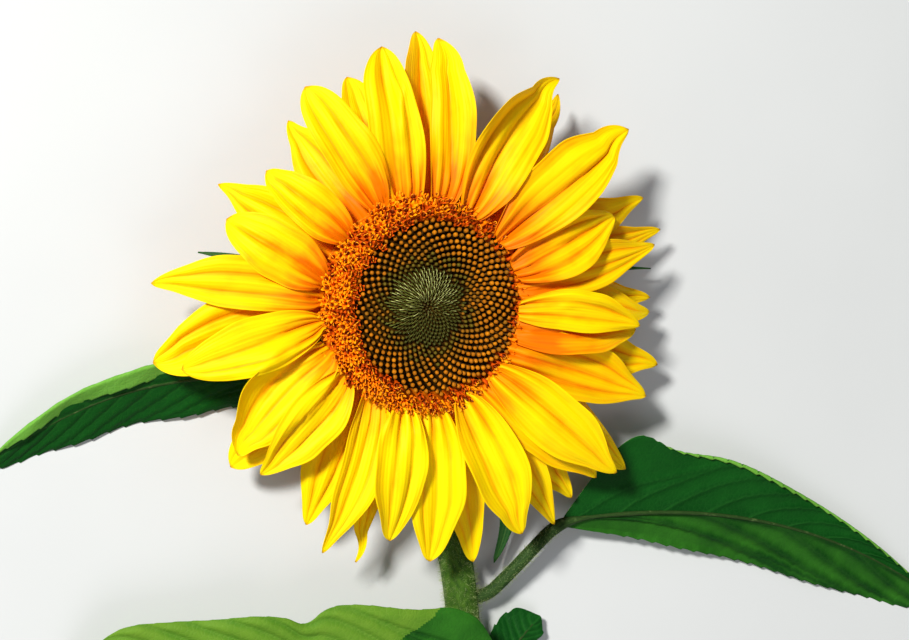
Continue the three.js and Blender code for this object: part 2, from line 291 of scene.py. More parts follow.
class Finish:
    """A material made of nodes, with short calls to add and join them; a tuple is a colour."""

    def __init__(self, name, roughness, specular):
        self.material = bpy.data.materials.new(name)
        self.material.use_nodes = True
        self.nodes = self.material.node_tree.nodes
        self.links = self.material.node_tree.links
        self.shader = self.nodes["Principled BSDF"]
        self.shader.inputs["Roughness"].default_value = roughness
        self.shader.inputs["Specular IOR Level"].default_value = specular

    def join(self, source, target):
        if isinstance(source, bpy.types.NodeSocket):
            self.links.new(source, target)
        else:
            target.default_value = (*source, 1.0) if isinstance(source, tuple) else source

    def node(self, kind, output, inputs=(), **settings):
        """Adds a node, sets it up, joins its inputs and gives one of its outputs."""
        node = self.nodes.new("ShaderNode" + kind)
        for key, setting in settings.items():
            setattr(node, key, setting)
        for socket, source in dict(inputs).items():
            self.join(source, node.inputs[socket])
        return node.outputs[output]

    def value(self, layer):
        """What the mesh says in one of its point values."""
        return self.node("Attribute", "Fac", attribute_name=layer)

    def sum(self, operation, one, two=0.0):
        return self.node("Math", 0, {0: one, 1: two}, operation=operation)

    def plus(self, one, two):
        return self.sum("ADD", one, two)

    def minus(self, one, two):
        return self.sum("SUBTRACT", one, two)

    def times(self, one, two):
        return self.sum("MULTIPLY", one, two)

    def place(self, across, along, third=0.0):
        """Pattern coordinates from two or three values."""
        return self.node("CombineXYZ", 0, {0: across, 1: along, 2: third})

    def position(self):
        return self.node("TexCoord", "Object")

    def noise(self, vector, scale, detail=3.0):
        inputs = {"Vector": vector, "Scale": scale, "Detail": detail, "Roughness": NOISE_ROUGHNESS}
        return self.node("TexNoise", "Fac", inputs)

    def net(self, vector, scale, width):
        """1 on the walls of a pattern of cells and 0 inside them."""
        inputs = {"Vector": vector, "Scale": scale}
        wall = self.node("TexVoronoi", "Distance", inputs, feature="DISTANCE_TO_EDGE")
        return self.remap(wall, 0.0, width, 1.0, 0.0)

    def remap(self, value, low, high, to_low=0.0, to_high=1.0):
        limits = {"From Min": low, "From Max": high, "To Min": to_low, "To Max": to_high}
        return self.node("MapRange", "Result", {"Value": value, **limits})

    def mix(self, factor, one, two):
        return self.node("Mix", "Result", {"Factor": factor, "A": one, "B": two}, data_type="RGBA")

    def ramp(self, factor, stops):
        """Colours by a factor: stops are (place, colour)."""
        node = self.nodes.new("ShaderNodeValToRGB")
        elements = node.color_ramp.elements
        while len(elements) < len(stops):
            elements.new(0.5)
        for element, (place, colour) in zip(elements, stops):
            element.position = place
            element.color = (*colour, 1.0)
        self.join(factor, node.inputs["Fac"])
        return node.outputs["Color"]

    def colour(self, source):
        self.join(source, self.shader.inputs["Base Color"])

    def rough(self, source):
        self.join(source, self.shader.inputs["Roughness"])

    def bump(self, height, depth, strength):
        """Relief of a height from 0 to 1, depth metres deep."""
        inputs = {"Strength": strength, "Distance": depth, "Height": height}
        self.join(self.node("Bump", "Normal", inputs), self.shader.inputs["Normal"])

    def glow_through(self, colour, share):
        """Light that comes through a thin petal."""
        through = self.node("BsdfTranslucent", "BSDF", {"Color": colour})
        both = self.node("MixShader", "Shader", {"Fac": share, 1: self.shader.outputs["BSDF"], 2: through})
        self.join(both, self.nodes["Material Output"].inputs["Surface"])


def petal_finish():
    """Yellow, more orange at its root, with painted shade that makes the valleys of its folds more orange and
    painted light that makes their crests lemon. It is more orange still by a value that is partly its own
    tone and partly painted shade, with fine streaks and veins.
    """
    finish = Finish("petal", 0.5, 0.10)
    along, across, crest = finish.value("along"), finish.value("across"), finish.value("crest")
    own, age = finish.value("own"), finish.value("age")
    streaks = finish.noise(finish.place(finish.times(across, 9.0), along, own), 2.2, 4.0)
    blotches = finish.noise(finish.place(across, finish.times(along, 3.0), own), 1.6, 2.0)
    # Painted light and shade: low crest values in the valleys of the folds are painted orange, and high ones
    # on the crests lemon.
    tone = finish.minus(finish.remap(crest, 0.0, 1.0, 0.30, 0.98), finish.remap(along, 0.0, 0.34, 0.42, 0.0))
    tone = finish.plus(tone, finish.remap(streaks, 0.3, 0.7, -0.10, 0.10))
    veins = finish.sum("SINE", finish.times(across, 46.0))
    tone = finish.plus(tone, finish.times(veins, 0.035))
    tone = finish.minus(tone, finish.remap(blotches, 0.5, 0.8, 0.0, 0.22))
    # Painted shade: the petal's orange value, which is partly its own tone, makes it more orange, most of all
    # near its root.
    tone = finish.minus(tone, finish.times(age, finish.remap(along, 0.2, 0.9, 0.55, 0.12)))
    body = finish.ramp(tone, PETAL_TONES)
    finish.colour(finish.mix(finish.remap(along, 0.975, 1.0, 0.0, 0.8), body, PETAL_TIP))
    finish.rough(finish.remap(streaks, 0.3, 0.7, 0.45, 0.6))
    fine = finish.noise(finish.place(finish.times(across, 30.0), finish.times(along, 14.0), own), 1.0)
    finish.bump(finish.plus(finish.times(veins, 0.35), fine), 0.16 * MM, 0.6)
    finish.glow_through(PETAL_GLOW, 0.30)
    return finish.material


def leaf_finish(name, dark, bright, vein_colour):
    """Dark and bright patches, painted light on the swellings between the veins, a fine net, and veins in a
    colour of their own.
    """
    finish = Finish(name, 0.55, 0.08)
    vein, fold, position = finish.value("vein"), finish.value("fold"), finish.position()
    net = finish.net(position, 420.0, 0.12)
    patches = finish.noise(position, 60.0)
    # Painted light: the blade is brighter where the fold value is high, on the swellings between its veins.
    light = finish.plus(finish.remap(patches, 0.35, 0.7, -0.1, 0.4), finish.times(fold, 0.6))
    body = finish.mix(light, dark, bright)
    body = finish.mix(finish.times(net, 0.18), body, vein_colour)
    finish.colour(finish.mix(finish.times(vein, 0.7), body, vein_colour))
    finish.rough(finish.remap(patches, 0.3, 0.7, 0.48, 0.65))
    fine = finish.noise(position, 900.0)
    finish.bump(finish.minus(finish.times(fine, 0.5), net), 0.12 * MM, 0.7)
    return finish.material


def stem_finish(name, dark, bright):
    """Long fibres in two greens, with pale flecks."""
    finish = Finish(name, 0.62, 0.08)
    along, around = finish.value("along"), finish.value("around")
    fibres = finish.noise(finish.place(finish.times(around, 26.0), finish.times(along, 60.0)), 1.0, 4.0)
    flecks = finish.noise(finish.position(), 300.0, 2.0)
    body = finish.mix(finish.remap(fibres, 0.35, 0.65), dark, bright)
    finish.colour(finish.mix(finish.remap(flecks, 0.60, 0.72, 0.0, 0.25), body, STEM_FLECK))
    finish.bump(finish.plus(fibres, finish.times(flecks, 0.4)), 0.35 * MM, 0.8)
    return finish.material


def speckled_finish(name, colours, scale=700.0, roughness=0.6, specular=0.12):
    """A small soft thing whose colour wanders between two tones."""
    finish = Finish(name, roughness, specular)
    grain = finish.noise(finish.position(), scale)
    finish.colour(finish.mix(finish.remap(grain, 0.35, 0.65), *colours))
    finish.bump(grain, SPECKLE_DEPTH, 0.6)
    return finish.material


def speckled_finishes(tones, *settings):
    return [speckled_finish(name, colours, *settings) for name, colours in tones.items()]


def floor_finish():
    finish = Finish("pale_floor", 0.75, 0.15)
    cloud = finish.noise(finish.position(), 3.0, 4.0)
    finish.colour(finish.mix(finish.remap(cloud, 0.3, 0.7), *FLOOR_TONES))
    return finish.material


# ---- the places of things

dome_low, dome_high = (np.array(corner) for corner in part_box("disc_dome"))
bowl_low, bowl_high = (np.array(corner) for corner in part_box("receptacle"))
AXIS = (dome_low + dome_high) / 2 * [1, 1, 0]
RIM_Z = float(dome_low[2])
RIM_RADIUS = float(bowl_high[0] - bowl_low[0]) / 2
# The buds stand this far out of the skin they grow on, and the bed between them lies below that skin.
BUD_PROUD = 1.5 * MM
BED_DROP = 2.4 * MM
DOME_RISE = float(dome_high[2] - dome_low[2]) - BUD_PROUD
DENT_DEPTH = 1.6 * MM
DENT_RADIUS = 4.5 * MM


def dome_height(radius):
    """The height of the disc's skin that the florets stand on, less the small hollow at its middle."""
    return RIM_Z + DOME_RISE * (1 - (radius / RIM_RADIUS) ** 2) - DENT_DEPTH * hump(radius, DENT_RADIUS)


def turned_grid(radii, heights, angle):
    """Points on circles round the bloom's axis, one row for each height."""
    across, along = radii * np.cos(angle), radii * np.sin(angle)
    level = np.broadcast_to(heights[:, None], across.shape)
    return np.stack([AXIS[0] + across, AXIS[1] + along, level], axis=-1)


# ---- petals

WHORLS = ("back", "third", "second", "front")
PETAL_STATIONS = 7
PETAL_ROWS = 52
PETAL_COLUMNS = 33
# The rows stand closer together at the root and the tip, and the first ones lie inside the floret ring.
ROW_CROWDING = 0.055
PETAL_INSET = 0.035
INSET_ON_THE_RIGHT = 0.055
PETAL_HALF_THICK = 0.17 * MM
# Half the width of a petal: where it is widest, how full it is there, and its least at root and tip.
PETAL_PEAK = 0.54
PETAL_FULLNESS = 1.25
PETAL_LEAST_HALF = 0.15 * MM
ROOT_HALVES = {"front": 4.8 * MM, "second": 6.5 * MM, "third": 9.0 * MM, "back": 10.0 * MM}
WIDE_ROOTS = {"front_petal_3": 1.2, "front_petal_4": 1.5, "front_petal_5": 1.3}
# How wide a petal's left and right halves are beside those of its CAD blade.
PETAL_SHARES = (1.06, 1.06)
UNEVEN_PETALS = {
    "front_petal_2": (1.48, 1.06), "front_petal_3": (1.15, 1.06), "front_petal_4": (1.06, 0.78),
    "front_petal_5": (1.06, 0.66), "front_petal_13": (0.76, 0.82), "third_petal_1": (1.4, 1.2),
    "third_petal_5": (1.3, 1.06), "back_petal_1": (1.27, 1.2), "back_petal_7": (0.8, 0.8),
}
# How pointed a petal is, from 0 for a round one; the rest draw theirs from the usual range.
USUAL_POINT = (0.2, 0.55)
POINTS = {
    "front_petal_2": 0.4, "front_petal_3": 0.55, "front_petal_4": -0.1, "front_petal_5": -0.15,
    "front_petal_6": -0.1, "front_petal_7": 0.1, "front_petal_8": 0.0, "front_petal_9": 0.1,
    "front_petal_10": 0.3, "front_petal_11": 0.35, "front_petal_12": 0.5, "front_petal_13": 0.4,
    "second_petal_2": 0.3, "second_petal_3": 0.45, "second_petal_4": 0.5, "third_petal_1": 0.3,
    "third_petal_2": 0.2, "back_petal_1": 0.5, "back_petal_2": -0.1, "back_petal_5": 0.0,
    "back_petal_6": 0.4, "back_petal_7": 0.6,
}
# How far a tip hooks to one side (+ is anticlockwise round the bloom), in mm, where the tip stands out.
TIP_HOOKS = {
    "front_petal_2": 2.0, "front_petal_3": 2.2, "front_petal_4": -1.2, "front_petal_11": -1.0,
    "second_petal_2": -1.2, "third_petal_2": 1.0, "back_petal_1": -2.0, "back_petal_7": 1.8,
}
# How far the petals nearest to the stem rise to their tips, and petals whose middle stands higher, in mm.
TIP_RISE = 7 * MM
RAISED_PETALS = {"third_petal_1": 4.0, "front_petal_3": 2.5}
# How orange the petals of a whorl are, from 0 for pure yellow, partly as painted shade that makes the whorls
# lying under others more orange. Petals that are more (+) or less so: painted shade on petals in others'
# shadow, and painted light on sunlit ones.
WHORL_ORANGE_AND_SHADE = {"front": (0.0, 0.25), "second": (0.1, 0.4), "third": (0.2, 0.5), "back": (0.2, 0.6)}
ORANGE_AND_SHADE_SHIFTS = {
    "front_petal_2": -0.15, "front_petal_3": -0.35, "front_petal_6": 0.3, "front_petal_7": 0.25,
    "front_petal_8": 0.15, "front_petal_12": -0.15, "front_petal_13": -0.6, "second_petal_7": 0.4,
    "second_petal_8": -0.2, "third_petal_4": -0.25, "third_petal_5": -0.4,
}
# A petal is lifted to lie on those already there: the gap between them, how far below them it may pass
# on average and still be lifted, the most it rises, where along it the lift begins and is full, and the
# height that the rays fall from that find the petals under it.
LAID_GAP = 0.25 * MM
LAID_BELOW = 2.5 * MM
LAID_MOST = 6 * MM
LAID_FROM = (0.02, 0.12)
LAID_SMOOTHING = 40
RAYS_FALL_FROM = 1.0


def petal_number(name):
    return int(name.rsplit("_", 1)[1])


def petals_of(whorl):
    return sorted((node for node in frame["nodes"] if node.startswith(whorl + "_petal_")), key=petal_number)


def petal_outline(t):
    """Half the width of a petal along its length, 1 at its widest."""
    t = np.clip(t, 1e-6, 1 - 1e-6)
    swell = (t / PETAL_PEAK) ** PETAL_PEAK * ((1 - t) / (1 - PETAL_PEAK)) ** (1 - PETAL_PEAK)
    return swell ** PETAL_FULLNESS


def petal_places(blade):
    """How far along its petal, from its root, and across it, from right to left, each point is."""
    shares = np.linspace(0, 1, PETAL_ROWS)
    shares = shares - ROW_CROWDING * np.sin(FULL_TURN * shares)
    inset = PETAL_INSET - INSET_ON_THE_RIGHT * max(0, blade.forward[0])
    rows = -inset + (1 + inset) * shares
    return np.meshgrid(rows, np.linspace(-1, 1, PETAL_COLUMNS), indexing="ij")


def petal_width(name, blade, t, v, dice):
    """How far from its middle line a petal's edge is, for each point's side and place along it."""
    left, right = UNEVEN_PETALS.get(name, PETAL_SHARES)
    half = np.where(v > 0, blade.half_left * left, blade.half_right * right)
    half = half * np.where(v > 0, 1 + dice.uniform(-0.10, 0.10), 1.0)
    usual_point = dice.uniform(*USUAL_POINT)
    pointed = 1 - POINTS.get(name, usual_point) * smoothstep(0.58, 0.97, t)
    wide = petal_outline(t) * pointed * (1 - 0.5 * np.exp(-(1 - t) / 0.015))
    wave = 1 + 0.03 * np.sin(t * dice.uniform(9, 17) + phase(dice) + v * 1.3)
    root_half = ROOT_HALVES[name.split("_")[0]] * dice.uniform(0.8, 1.2) * WIDE_ROOTS.get(name, 1.0)
    return half * wide * wave + root_half * np.clip(1 - t, 0, 1) ** 2.4 + PETAL_LEAST_HALF


def petal_dish(t, v, width, at_root, at_tip, dice):
    """Height and sideways place across a petal before its folds: a shallow dish, curled edges and a keel."""
    curl = np.where(v > 0, dice.uniform(-0.25, 0.4), dice.uniform(-0.25, 0.4)) * smoothstep(0.1, 0.45, t)
    curl = curl * (1 - 0.6 * at_tip)
    height = width * (0.22 * (0.35 * np.abs(v) + 0.65 * v ** 2) + dice.uniform(0.1, 0.4) * at_root * v ** 2)
    height += width * curl * smoothstep(0.55, 1.05, np.abs(v)) * 0.8
    side = width * v * (1 - 0.15 * at_root * v ** 2 - 0.12 * np.abs(curl) * v ** 2)
    keel = dice.choice([-1, 1]) * dice.uniform(0.10, 0.42)
    keel_shape = (np.sqrt(v ** 2 + 0.01) - 0.5) * smoothstep(0.05, 0.4, t)
    height += width * keel * keel_shape * (1 - 0.5 * at_tip)
    return height, side


def petal_folds(t, v, width, at_root, at_tip, calm, dice):
    """How deep a petal's lengthwise folds are and how high on them each point is, from 0 to 1."""
    folds = dice.choice([2, 3, 3, 4])
    odd = math.pi / 2 * (folds % 2 == 0)
    drift = dice.uniform(-0.25, 0.25) + 0.16 * np.sin(t * dice.uniform(2, 4) + phase(dice))
    place = math.pi / 2 * folds * (v + drift * (1 - np.abs(v)))
    broad = np.abs(np.cos(place + odd)) ** 0.8
    fine = np.abs(np.cos(3 * place + odd + 0.6 * np.sin(t * 5 + phase(dice)))) ** 0.8
    swell = 0.55 + 0.45 * np.sin(t * dice.uniform(3, 6) + phase(dice) + v)
    depth = width.mean(axis=1, keepdims=True) * dice.uniform(0.16, 0.30) * 3 / folds
    depth = depth * (0.6 + 0.8 * swell + 0.9 * at_root) * fade(0.86, 1.0, np.abs(v))
    return depth * (1 - 0.5 * at_tip) * (1 - calm), 0.86 * broad + 0.14 * fine


def petal_grid(name, blade, dice):
    """A petal's middle surface, its points' places along and across, and how high on its folds they are."""
    t, v = petal_places(blade)
    kept = np.clip(t, 0, 1)
    at_root, at_tip = hump(kept, 0.20), smoothstep(0.72, 1.0, t)
    towards_stem = max(0, -blade.forward[1])
    calm = 0.4 * max(0, blade.forward[1]) ** 2
    width = petal_width(name, blade, t, v, dice)
    height, side = petal_dish(t, v, width, at_root, at_tip, dice)
    depth, relief = petal_folds(t, v, width, at_root, at_tip, 0.3 * towards_stem + calm, dice)
    height += depth * (relief - 0.6)

    flutes = dice.integers(4, 7)
    flute = 0.5 + 0.5 * np.cos(math.pi * flutes * v + phase(dice) + 2 * t)
    bunched = hump(kept, 0.26)
    height += 1.3 * MM * bunched * (flute - 0.5) * dice.uniform(0.7, 1.4)
    ripple = np.sin(t * dice.uniform(8, 15) + phase(dice) + 2.0 * v) * smoothstep(0.5, 1.0, np.abs(v))
    height += ripple * 0.5 * MM * smoothstep(0.1, 0.4, t)
    height += at_tip ** 2 * dice.uniform(-1.2, 1.6) * MM
    height += TIP_RISE * towards_stem * kept ** 2
    height += RAISED_PETALS.get(name, 0) * MM * np.sin(math.pi * kept) ** 0.7

    usual_hook = dice.uniform(-0.8, 0.8)
    hooked = np.where(t > 0.80, np.sin(math.pi * np.clip((t - 0.80) / 0.20, 0, 1)), 0)
    side = side + TIP_HOOKS.get(name, usual_hook) * MM * hooked
    roll = math.radians(dice.uniform(-17, 17)) * smoothstep(0.1, 0.6, t)
    height, side = height + side * np.sin(roll), side * np.cos(roll)
    grid = blade.centre(t) + blade.side * side[..., None] + blade.up * height[..., None]
    # The crest value paints shade into the valleys of the folds and into the flutes at the root, and less of
    # it on the petals at the top.
    inner = fade(0.86, 1.0, np.abs(v))
    crest = 1 - (1 - relief) * inner * fade(0.85, 1.0, t) * (1 - calm)
    return grid, t, v, crest * (1 - 0.6 * bunched * (1 - flute))


def neighbours(values):
    """What stands in each cell's four neighbours, at an edge in the cell itself."""
    wide = np.pad(values, 1, mode="edge")
    return np.stack([wide[:-2, 1:-1], wide[2:, 1:-1], wide[1:-1, :-2], wide[1:-1, 2:]])


def lift_over(grid, half, t, laid):
    """How far each point of a petal rises to lie on the petals that are already there."""
    need = np.zeros(t.shape)
    low, high = grid.min((0, 1)), grid.max((0, 1))
    for tree, its_low, its_high in laid:
        if (its_low > high)[:2].any() or (its_high < low)[:2].any():
            continue
        skin = np.full(t.shape, np.nan)
        for place in np.ndindex(t.shape):
            hit = tree.ray_cast((*grid[place][:2], RAYS_FALL_FROM), -UP)[0]
            if hit is not None:
                skin[place] = hit.z
        short = skin + half + LAID_GAP - grid[..., 2]
        if np.isfinite(short).any() and np.nanmean(short) < LAID_BELOW:
            need = np.fmax(need, short)
    need = np.minimum(need, LAID_MOST) * smoothstep(*LAID_FROM, t)
    need = np.maximum(need, neighbours(need).max(0))
    rise = need
    for _ in range(LAID_SMOOTHING):
        rise = np.maximum(need, neighbours(rise).mean(0))
    return rise


def petal_age(name, forward, dice):
    """How orange a petal is, partly as painted shade: most on the right and at the top, where it stands for
    petals turned from the light, and least towards the stem, where painted light keeps them yellow.
    """
    age = dice.uniform(*WHORL_ORANGE_AND_SHADE[name.split("_")[0]]) + ORANGE_AND_SHADE_SHIFTS.get(name, 0.0)
    return age + 0.1 + 0.6 * max(0, forward[0]) + 0.35 * forward[1] - 0.35 * max(0, -forward[1])


def make_petal(name, material, laid):
    """Makes one petal and adds it to the laid ones: a tree of its faces and its box."""
    dice = np.random.default_rng(name_seed(name))
    low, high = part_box(name)
    hub = AXIS + UP * (low[2] + high[2]) / 2
    blade = Blade(name, hub, PETAL_STATIONS)
    grid, t, v, crest = petal_grid(name, blade, dice)
    thicker_root = 1 + 1.2 * fade(0, 0.3, t) * (1 - v ** 2)
    half = PETAL_HALF_THICK * (1 - 0.65 * v ** 6) * thicker_root
    grid = grid + UP * lift_over(grid, half, t, laid)[..., None]
    points, faces = shell(grid, half)
    laid.append((BVHTree.FromPolygons(points.tolist(), faces.tolist()), points.min(0), points.max(0)))
    build = Build()
    own = dice.uniform(0, 20)
    age = petal_age(name, blade.forward, dice)
    build.add(points, faces, own=own, age=age, **both_sides(along=t, across=v, crest=crest))
    build.make("ray_" + name, "petal_yellow", [material], name)


# ---- the disc

# Each floret has this much room, in square metres: little where they are young, inside the first radius,
# and more where they are ripe, outside the second.
YOUNG_ROOM = 2.9 * MM * MM
RIPE_ROOM = 8.4 * MM * MM
YOUNG_RADIUS = 10 * MM
RIPE_RADIUS = 37 * MM
FULL_PITCH = math.sqrt(RIPE_ROOM * 2 / math.sqrt(3))
GREEN_RADIUS = 18 * MM
OUTER_RADIUS = 46.3 * MM
OUTER_SHIFT = 2.4 * MM
RING_STAND = 3.0 * MM
SHADY_BEARING = math.radians(140)
SUNNY_BEARING = math.radians(95)
# Inside the first radius the middle's scales and young florets are dark, and inside the second its scales are
# olive: painted shade in the hollow at its middle.
DARK_MIDDLE = 1.7 * MM
DULL_MIDDLE = 2.4 * MM
BED_RINGS = 60
BED_SIDES = 120
RING_BED_MARGIN = 2.5 * MM
# Turned shapes: (radius, height) in mm from the foot up. A bud's cap begins at the fourth pair.
BUD_PROFILE = (
    (0.60, 0), (0.64, 1.4), (0.78, 2.6), (0.96, 3.4), (1.03, 3.9),
    (0.95, 4.4), (0.68, 4.8), (0.32, 5.0), (0.02, 4.9),
)
BUD_SIDES = 12
BUD_FOOT_ROWS = 3
ANTHER_PROFILE = ((0.36, 2.5), (0.44, 4.2), (0.44, 5.2), (0.36, 5.8), (0.20, 6.1), (0.02, 5.7))
YOUNG_PROFILE = ((0.5, 0), (0.72, 1.4), (0.80, 2.2), (0.55, 3.0), (0.02, 3.3))
LOBES = 5
COROLLA_ROWS = 8
COROLLA_SIDES = 20
ARM_ROWS = 7
ARM_SIDES = 5
ARM_HALF_THICK = 0.21 * MM
SCALE_ROWS = 7
SCALE_COLUMNS = 3
SCALE_TIP_FROM = 3
SCALE_HALF_THICK = 0.06 * MM
# A floret this ripe is open, and the buds that are nearly that ripe are all of one colour.
OPEN_RIPENESS = 0.7
NEARLY_OPEN = -1.5


def open_radius(bearing):
    """Outside this radius the florets are open: the ring is wide on the left and narrow on the right."""
    return (37.3 + 7.5 * np.cos(bearing) + 0.3 * np.cos(2 * bearing) - 0.5 * np.sin(bearing)) * MM


def floret_room(radius):
    return YOUNG_ROOM + (RIPE_ROOM - YOUNG_ROOM) * smoothstep(YOUNG_RADIUS, RIPE_RADIUS, radius)


def floret_places():
    """Radius and bearing of each floret, in order from the middle, a golden angle apart."""
    radius = np.linspace(0, OUTER_RADIUS + OUTER_SHIFT, 2000)
    fitted = np.cumsum(FULL_TURN * radius / floret_room(radius)) * radius[1]
    number = np.arange(int(fitted[-1]))
    return np.interp(number + 0.5, fitted, radius), number * GOLDEN_ANGLE


def floret_frames(radius, bearing, lean):
    """Where florets stand and their outward, sideways and own-axis directions."""
    out = np.stack([np.cos(bearing), np.sin(bearing), np.zeros_like(bearing)], axis=-1)
    step = 0.2 * MM
    slope = (dome_height(radius + step) - dome_height(radius - step)) / (2 * step)
    axis = unit(UP - out * slope[:, None] + out * lean[:, None])
    outward = unit(out - axis * (out * axis).sum(-1, keepdims=True))
    origin = AXIS + out * radius[:, None] + UP * (dome_height(radius) - BED_DROP)[:, None]
    return origin, np.stack([outward, np.cross(axis, outward), axis], axis=1)


def spun(frames, angle):
    """The same frames turned about their own axes."""
    cosine, sine = np.cos(angle)[:, None], np.sin(angle)[:, None]
    first = frames[:, 0] * cosine + frames[:, 1] * sine
    second = frames[:, 1] * cosine - frames[:, 0] * sine
    return np.stack([first, second, frames[:, 2]], axis=1)


def scatter(build, shape, where, origins, frames, scales, finishes=0):
    """Adds a small shape at each chosen origin, turned to its frame and scaled."""
    points, faces = shape
    places = len(origins)
    finishes = np.broadcast_to(finishes, places)[where]
    origins, frames, scales = origins[where], frames[where], scales[where]
    spread = np.einsum("vk,nkx->nvx", points, frames) * scales.reshape(-1, 1, 1) + origins[:, None]
    first = np.arange(len(origins))[:, None, None] * len(points)
    build.add(spread, (faces[None] + first).reshape(-1, 4), np.repeat(finishes, len(faces)))


def lathe_shape(profile, sides, lobes, lobing):
    """A turned shape from (radius, height) pairs in mm, pinched into that many ribs."""
    angle = circle(sides)
    radii, heights = np.array(profile).T[:, :, None] * MM
    swell = 1 + lobing * np.cos(lobes * angle)
    across, along = radii * np.cos(angle) * swell, radii * np.sin(angle) * swell
    points = np.stack([across, along, np.broadcast_to(heights, across.shape)], axis=-1)
    return points.reshape(-1, 3), grid_faces(len(profile), sides, wrap=True)[:, ::-1]


def part_of(shape, keep):
    """The chosen faces of a shape, with only the points that they use."""
    points, faces = shape
    used, place = np.unique(faces[keep], return_inverse=True)
    return points[used], place.reshape(-1, 4)


def corolla_shape():
    """The five pointed lobes of an open floret, curling back from its tube."""
    angle, share = np.meshgrid(circle(COROLLA_SIDES), np.linspace(0, 1, COROLLA_ROWS))
    point = 1 - np.abs(((angle * LOBES / FULL_TURN) % 1) - 0.5) * 2
    flare = smoothstep(0.45, 1.0, share)
    radius = 0.66 + 0.34 * smoothstep(0, 0.45, share)
    radius = radius + flare * (0.15 + 1.15 * np.sin(flare * 1.9) * point ** 0.8)
    height = 3.6 * np.clip(share / 0.5, 0, 1) + 1.9 * np.sin(flare * 2.0) * (0.15 + 0.85 * point)
    points = np.stack([np.cos(angle) * radius, np.sin(angle) * radius, height], axis=-1) * MM
    return points.reshape(-1, 3), grid_faces(COROLLA_ROWS, COROLLA_SIDES, wrap=True)[:, ::-1]


def arm_shape():
    """One arm of a stigma: a fine tube that rises and curls outwards."""
    share = np.linspace(0, 1, ARM_ROWS)
    angle = share * 3.9
    out, height = 0.15 + 0.595 * (1 - np.cos(angle)), 5.6 + 0.85 * np.sin(angle)
    line = np.stack([out, np.zeros(ARM_ROWS), height], axis=-1) * MM
    points = tube(line, ARM_HALF_THICK * (1 - 0.4 * share[:, None]), ARM_SIDES)
    return points.reshape(-1, 3), grid_faces(ARM_ROWS, ARM_SIDES, wrap=True)


def scale_shape(length, width, lean):
    """The foot and the tip of a narrow pointed scale of the disc, leaning inwards, with a keel."""
    share = np.linspace(0, 1, SCALE_ROWS)
    half = width * (1 - share) ** 0.8 * (0.55 + 0.45 * np.sin(math.pi * np.clip(share + 0.15, 0, 1)))
    bend = lean * share ** 1.6
    level = np.zeros(SCALE_ROWS)
    line = np.stack([-length * share * np.sin(bend), level, length * share * np.cos(bend)], axis=-1)
    side = np.array([0.0, 1.0, 0.0]) * half[:, None]
    keel = np.stack([np.cos(bend), level, np.sin(bend)], axis=-1) * half[:, None] * 0.5
    grid = np.stack([line - side, line + keel, line + side], axis=1)
    shape = shell(grid * MM, np.full((SCALE_ROWS, SCALE_COLUMNS), SCALE_HALF_THICK))
    row = shape[1] % (SCALE_ROWS * SCALE_COLUMNS) // SCALE_COLUMNS
    is_tip = row.min(axis=1) >= SCALE_TIP_FROM
    return part_of(shape, ~is_tip), part_of(shape, is_tip)


def grow_florets():
    """Every floret's place, size and direction, how ripe it is in mm past opening, and which kind it is."""
    radius, bearing = floret_places()
    count = len(radius)
    pitch = np.sqrt(floret_room(radius) * 2 / math.sqrt(3))
    size = pitch / FULL_PITCH
    radius = radius + rng.normal(0, 0.03, count) * pitch
    ripe = (radius - open_radius(bearing) + rng.normal(0, 0.8 * MM, count)) / MM
    fits = radius < OUTER_RADIUS + OUTER_SHIFT * np.cos(bearing)
    is_open = (ripe > OPEN_RIPENESS) & fits
    is_green = radius + rng.normal(0, 1.5 * MM, count) < GREEN_RADIUS
    is_bud = (ripe <= OPEN_RIPENESS) & ~is_green
    lean = 0.06 + (0.55 + 0.3 * np.cos(bearing)) * smoothstep(40 * MM, 48 * MM, radius)
    origins, frames = floret_frames(radius, bearing, lean)
    upright = floret_frames(radius, bearing, np.zeros(count))[1]
    stand = RING_STAND * (0.8 + 0.2 * np.cos(bearing - SHADY_BEARING)) * smoothstep(0, 3, ripe)
    origins = origins + frames[:, 2] * (stand * is_open)[:, None]
    frames = spun(frames, rng.uniform(0, 6, count))
    growth = size * (1 + rng.normal(0, 0.04, count))
    return SimpleNamespace(
        count=count, radius=radius, bearing=bearing, pitch=pitch, size=size, growth=growth, ripe=ripe,
        is_open=is_open, is_green=is_green, is_bud=is_bud, origins=origins, frames=frames, upright=upright,
    )


def make_bed(finish, ring_finish):
    """The floor between the florets, painted near black as the shade between them, which is another colour
    under the open ones.
    """
    rings, angle = np.linspace(RIM_RADIUS, 0.2 * MM, BED_RINGS), circle(BED_SIDES)
    grid = turned_grid(rings[:, None], dome_height(rings) - BED_DROP, angle)
    under_ring = rings[:-1, None] > open_radius(angle)[None] + RING_BED_MARGIN
    bed = Build()
    faces = grid_faces(BED_RINGS, BED_SIDES, wrap=True)[:, ::-1]
    bed.add(grid, faces, under_ring.astype(int).ravel())
    bed.make("disc_bed", "disc_brown", [finish, ring_finish], "disc_dome")


def make_buds(disc, finishes):
    """The closed florets: feet painted dark as the shade between them, and round caps, olive inside and
    brighter outside.
    """
    bud = lathe_shape(BUD_PROFILE, BUD_SIDES, 4, 0.06)
    cap_from = BUD_FOOT_ROWS * BUD_SIDES
    cap, foot = part_of(bud, slice(cap_from, None)), part_of(bud, slice(0, cap_from))
    warm = smoothstep(GREEN_RADIUS - 1 * MM, GREEN_RADIUS + 13 * MM, disc.radius)
    tint = np.clip(np.round(warm * 2.2 + rng.normal(0, 0.4, disc.count)), 0, 3).astype(int)
    tint[disc.ripe > NEARLY_OPEN] = 2
    buds = Build()
    for shape, finish in ((cap, tint), (foot, len(finishes) - 1)):
        scatter(buds, shape, disc.is_bud, disc.origins, disc.frames, disc.growth, finish)
    buds.make("disc_buds", "disc_brown", finishes)


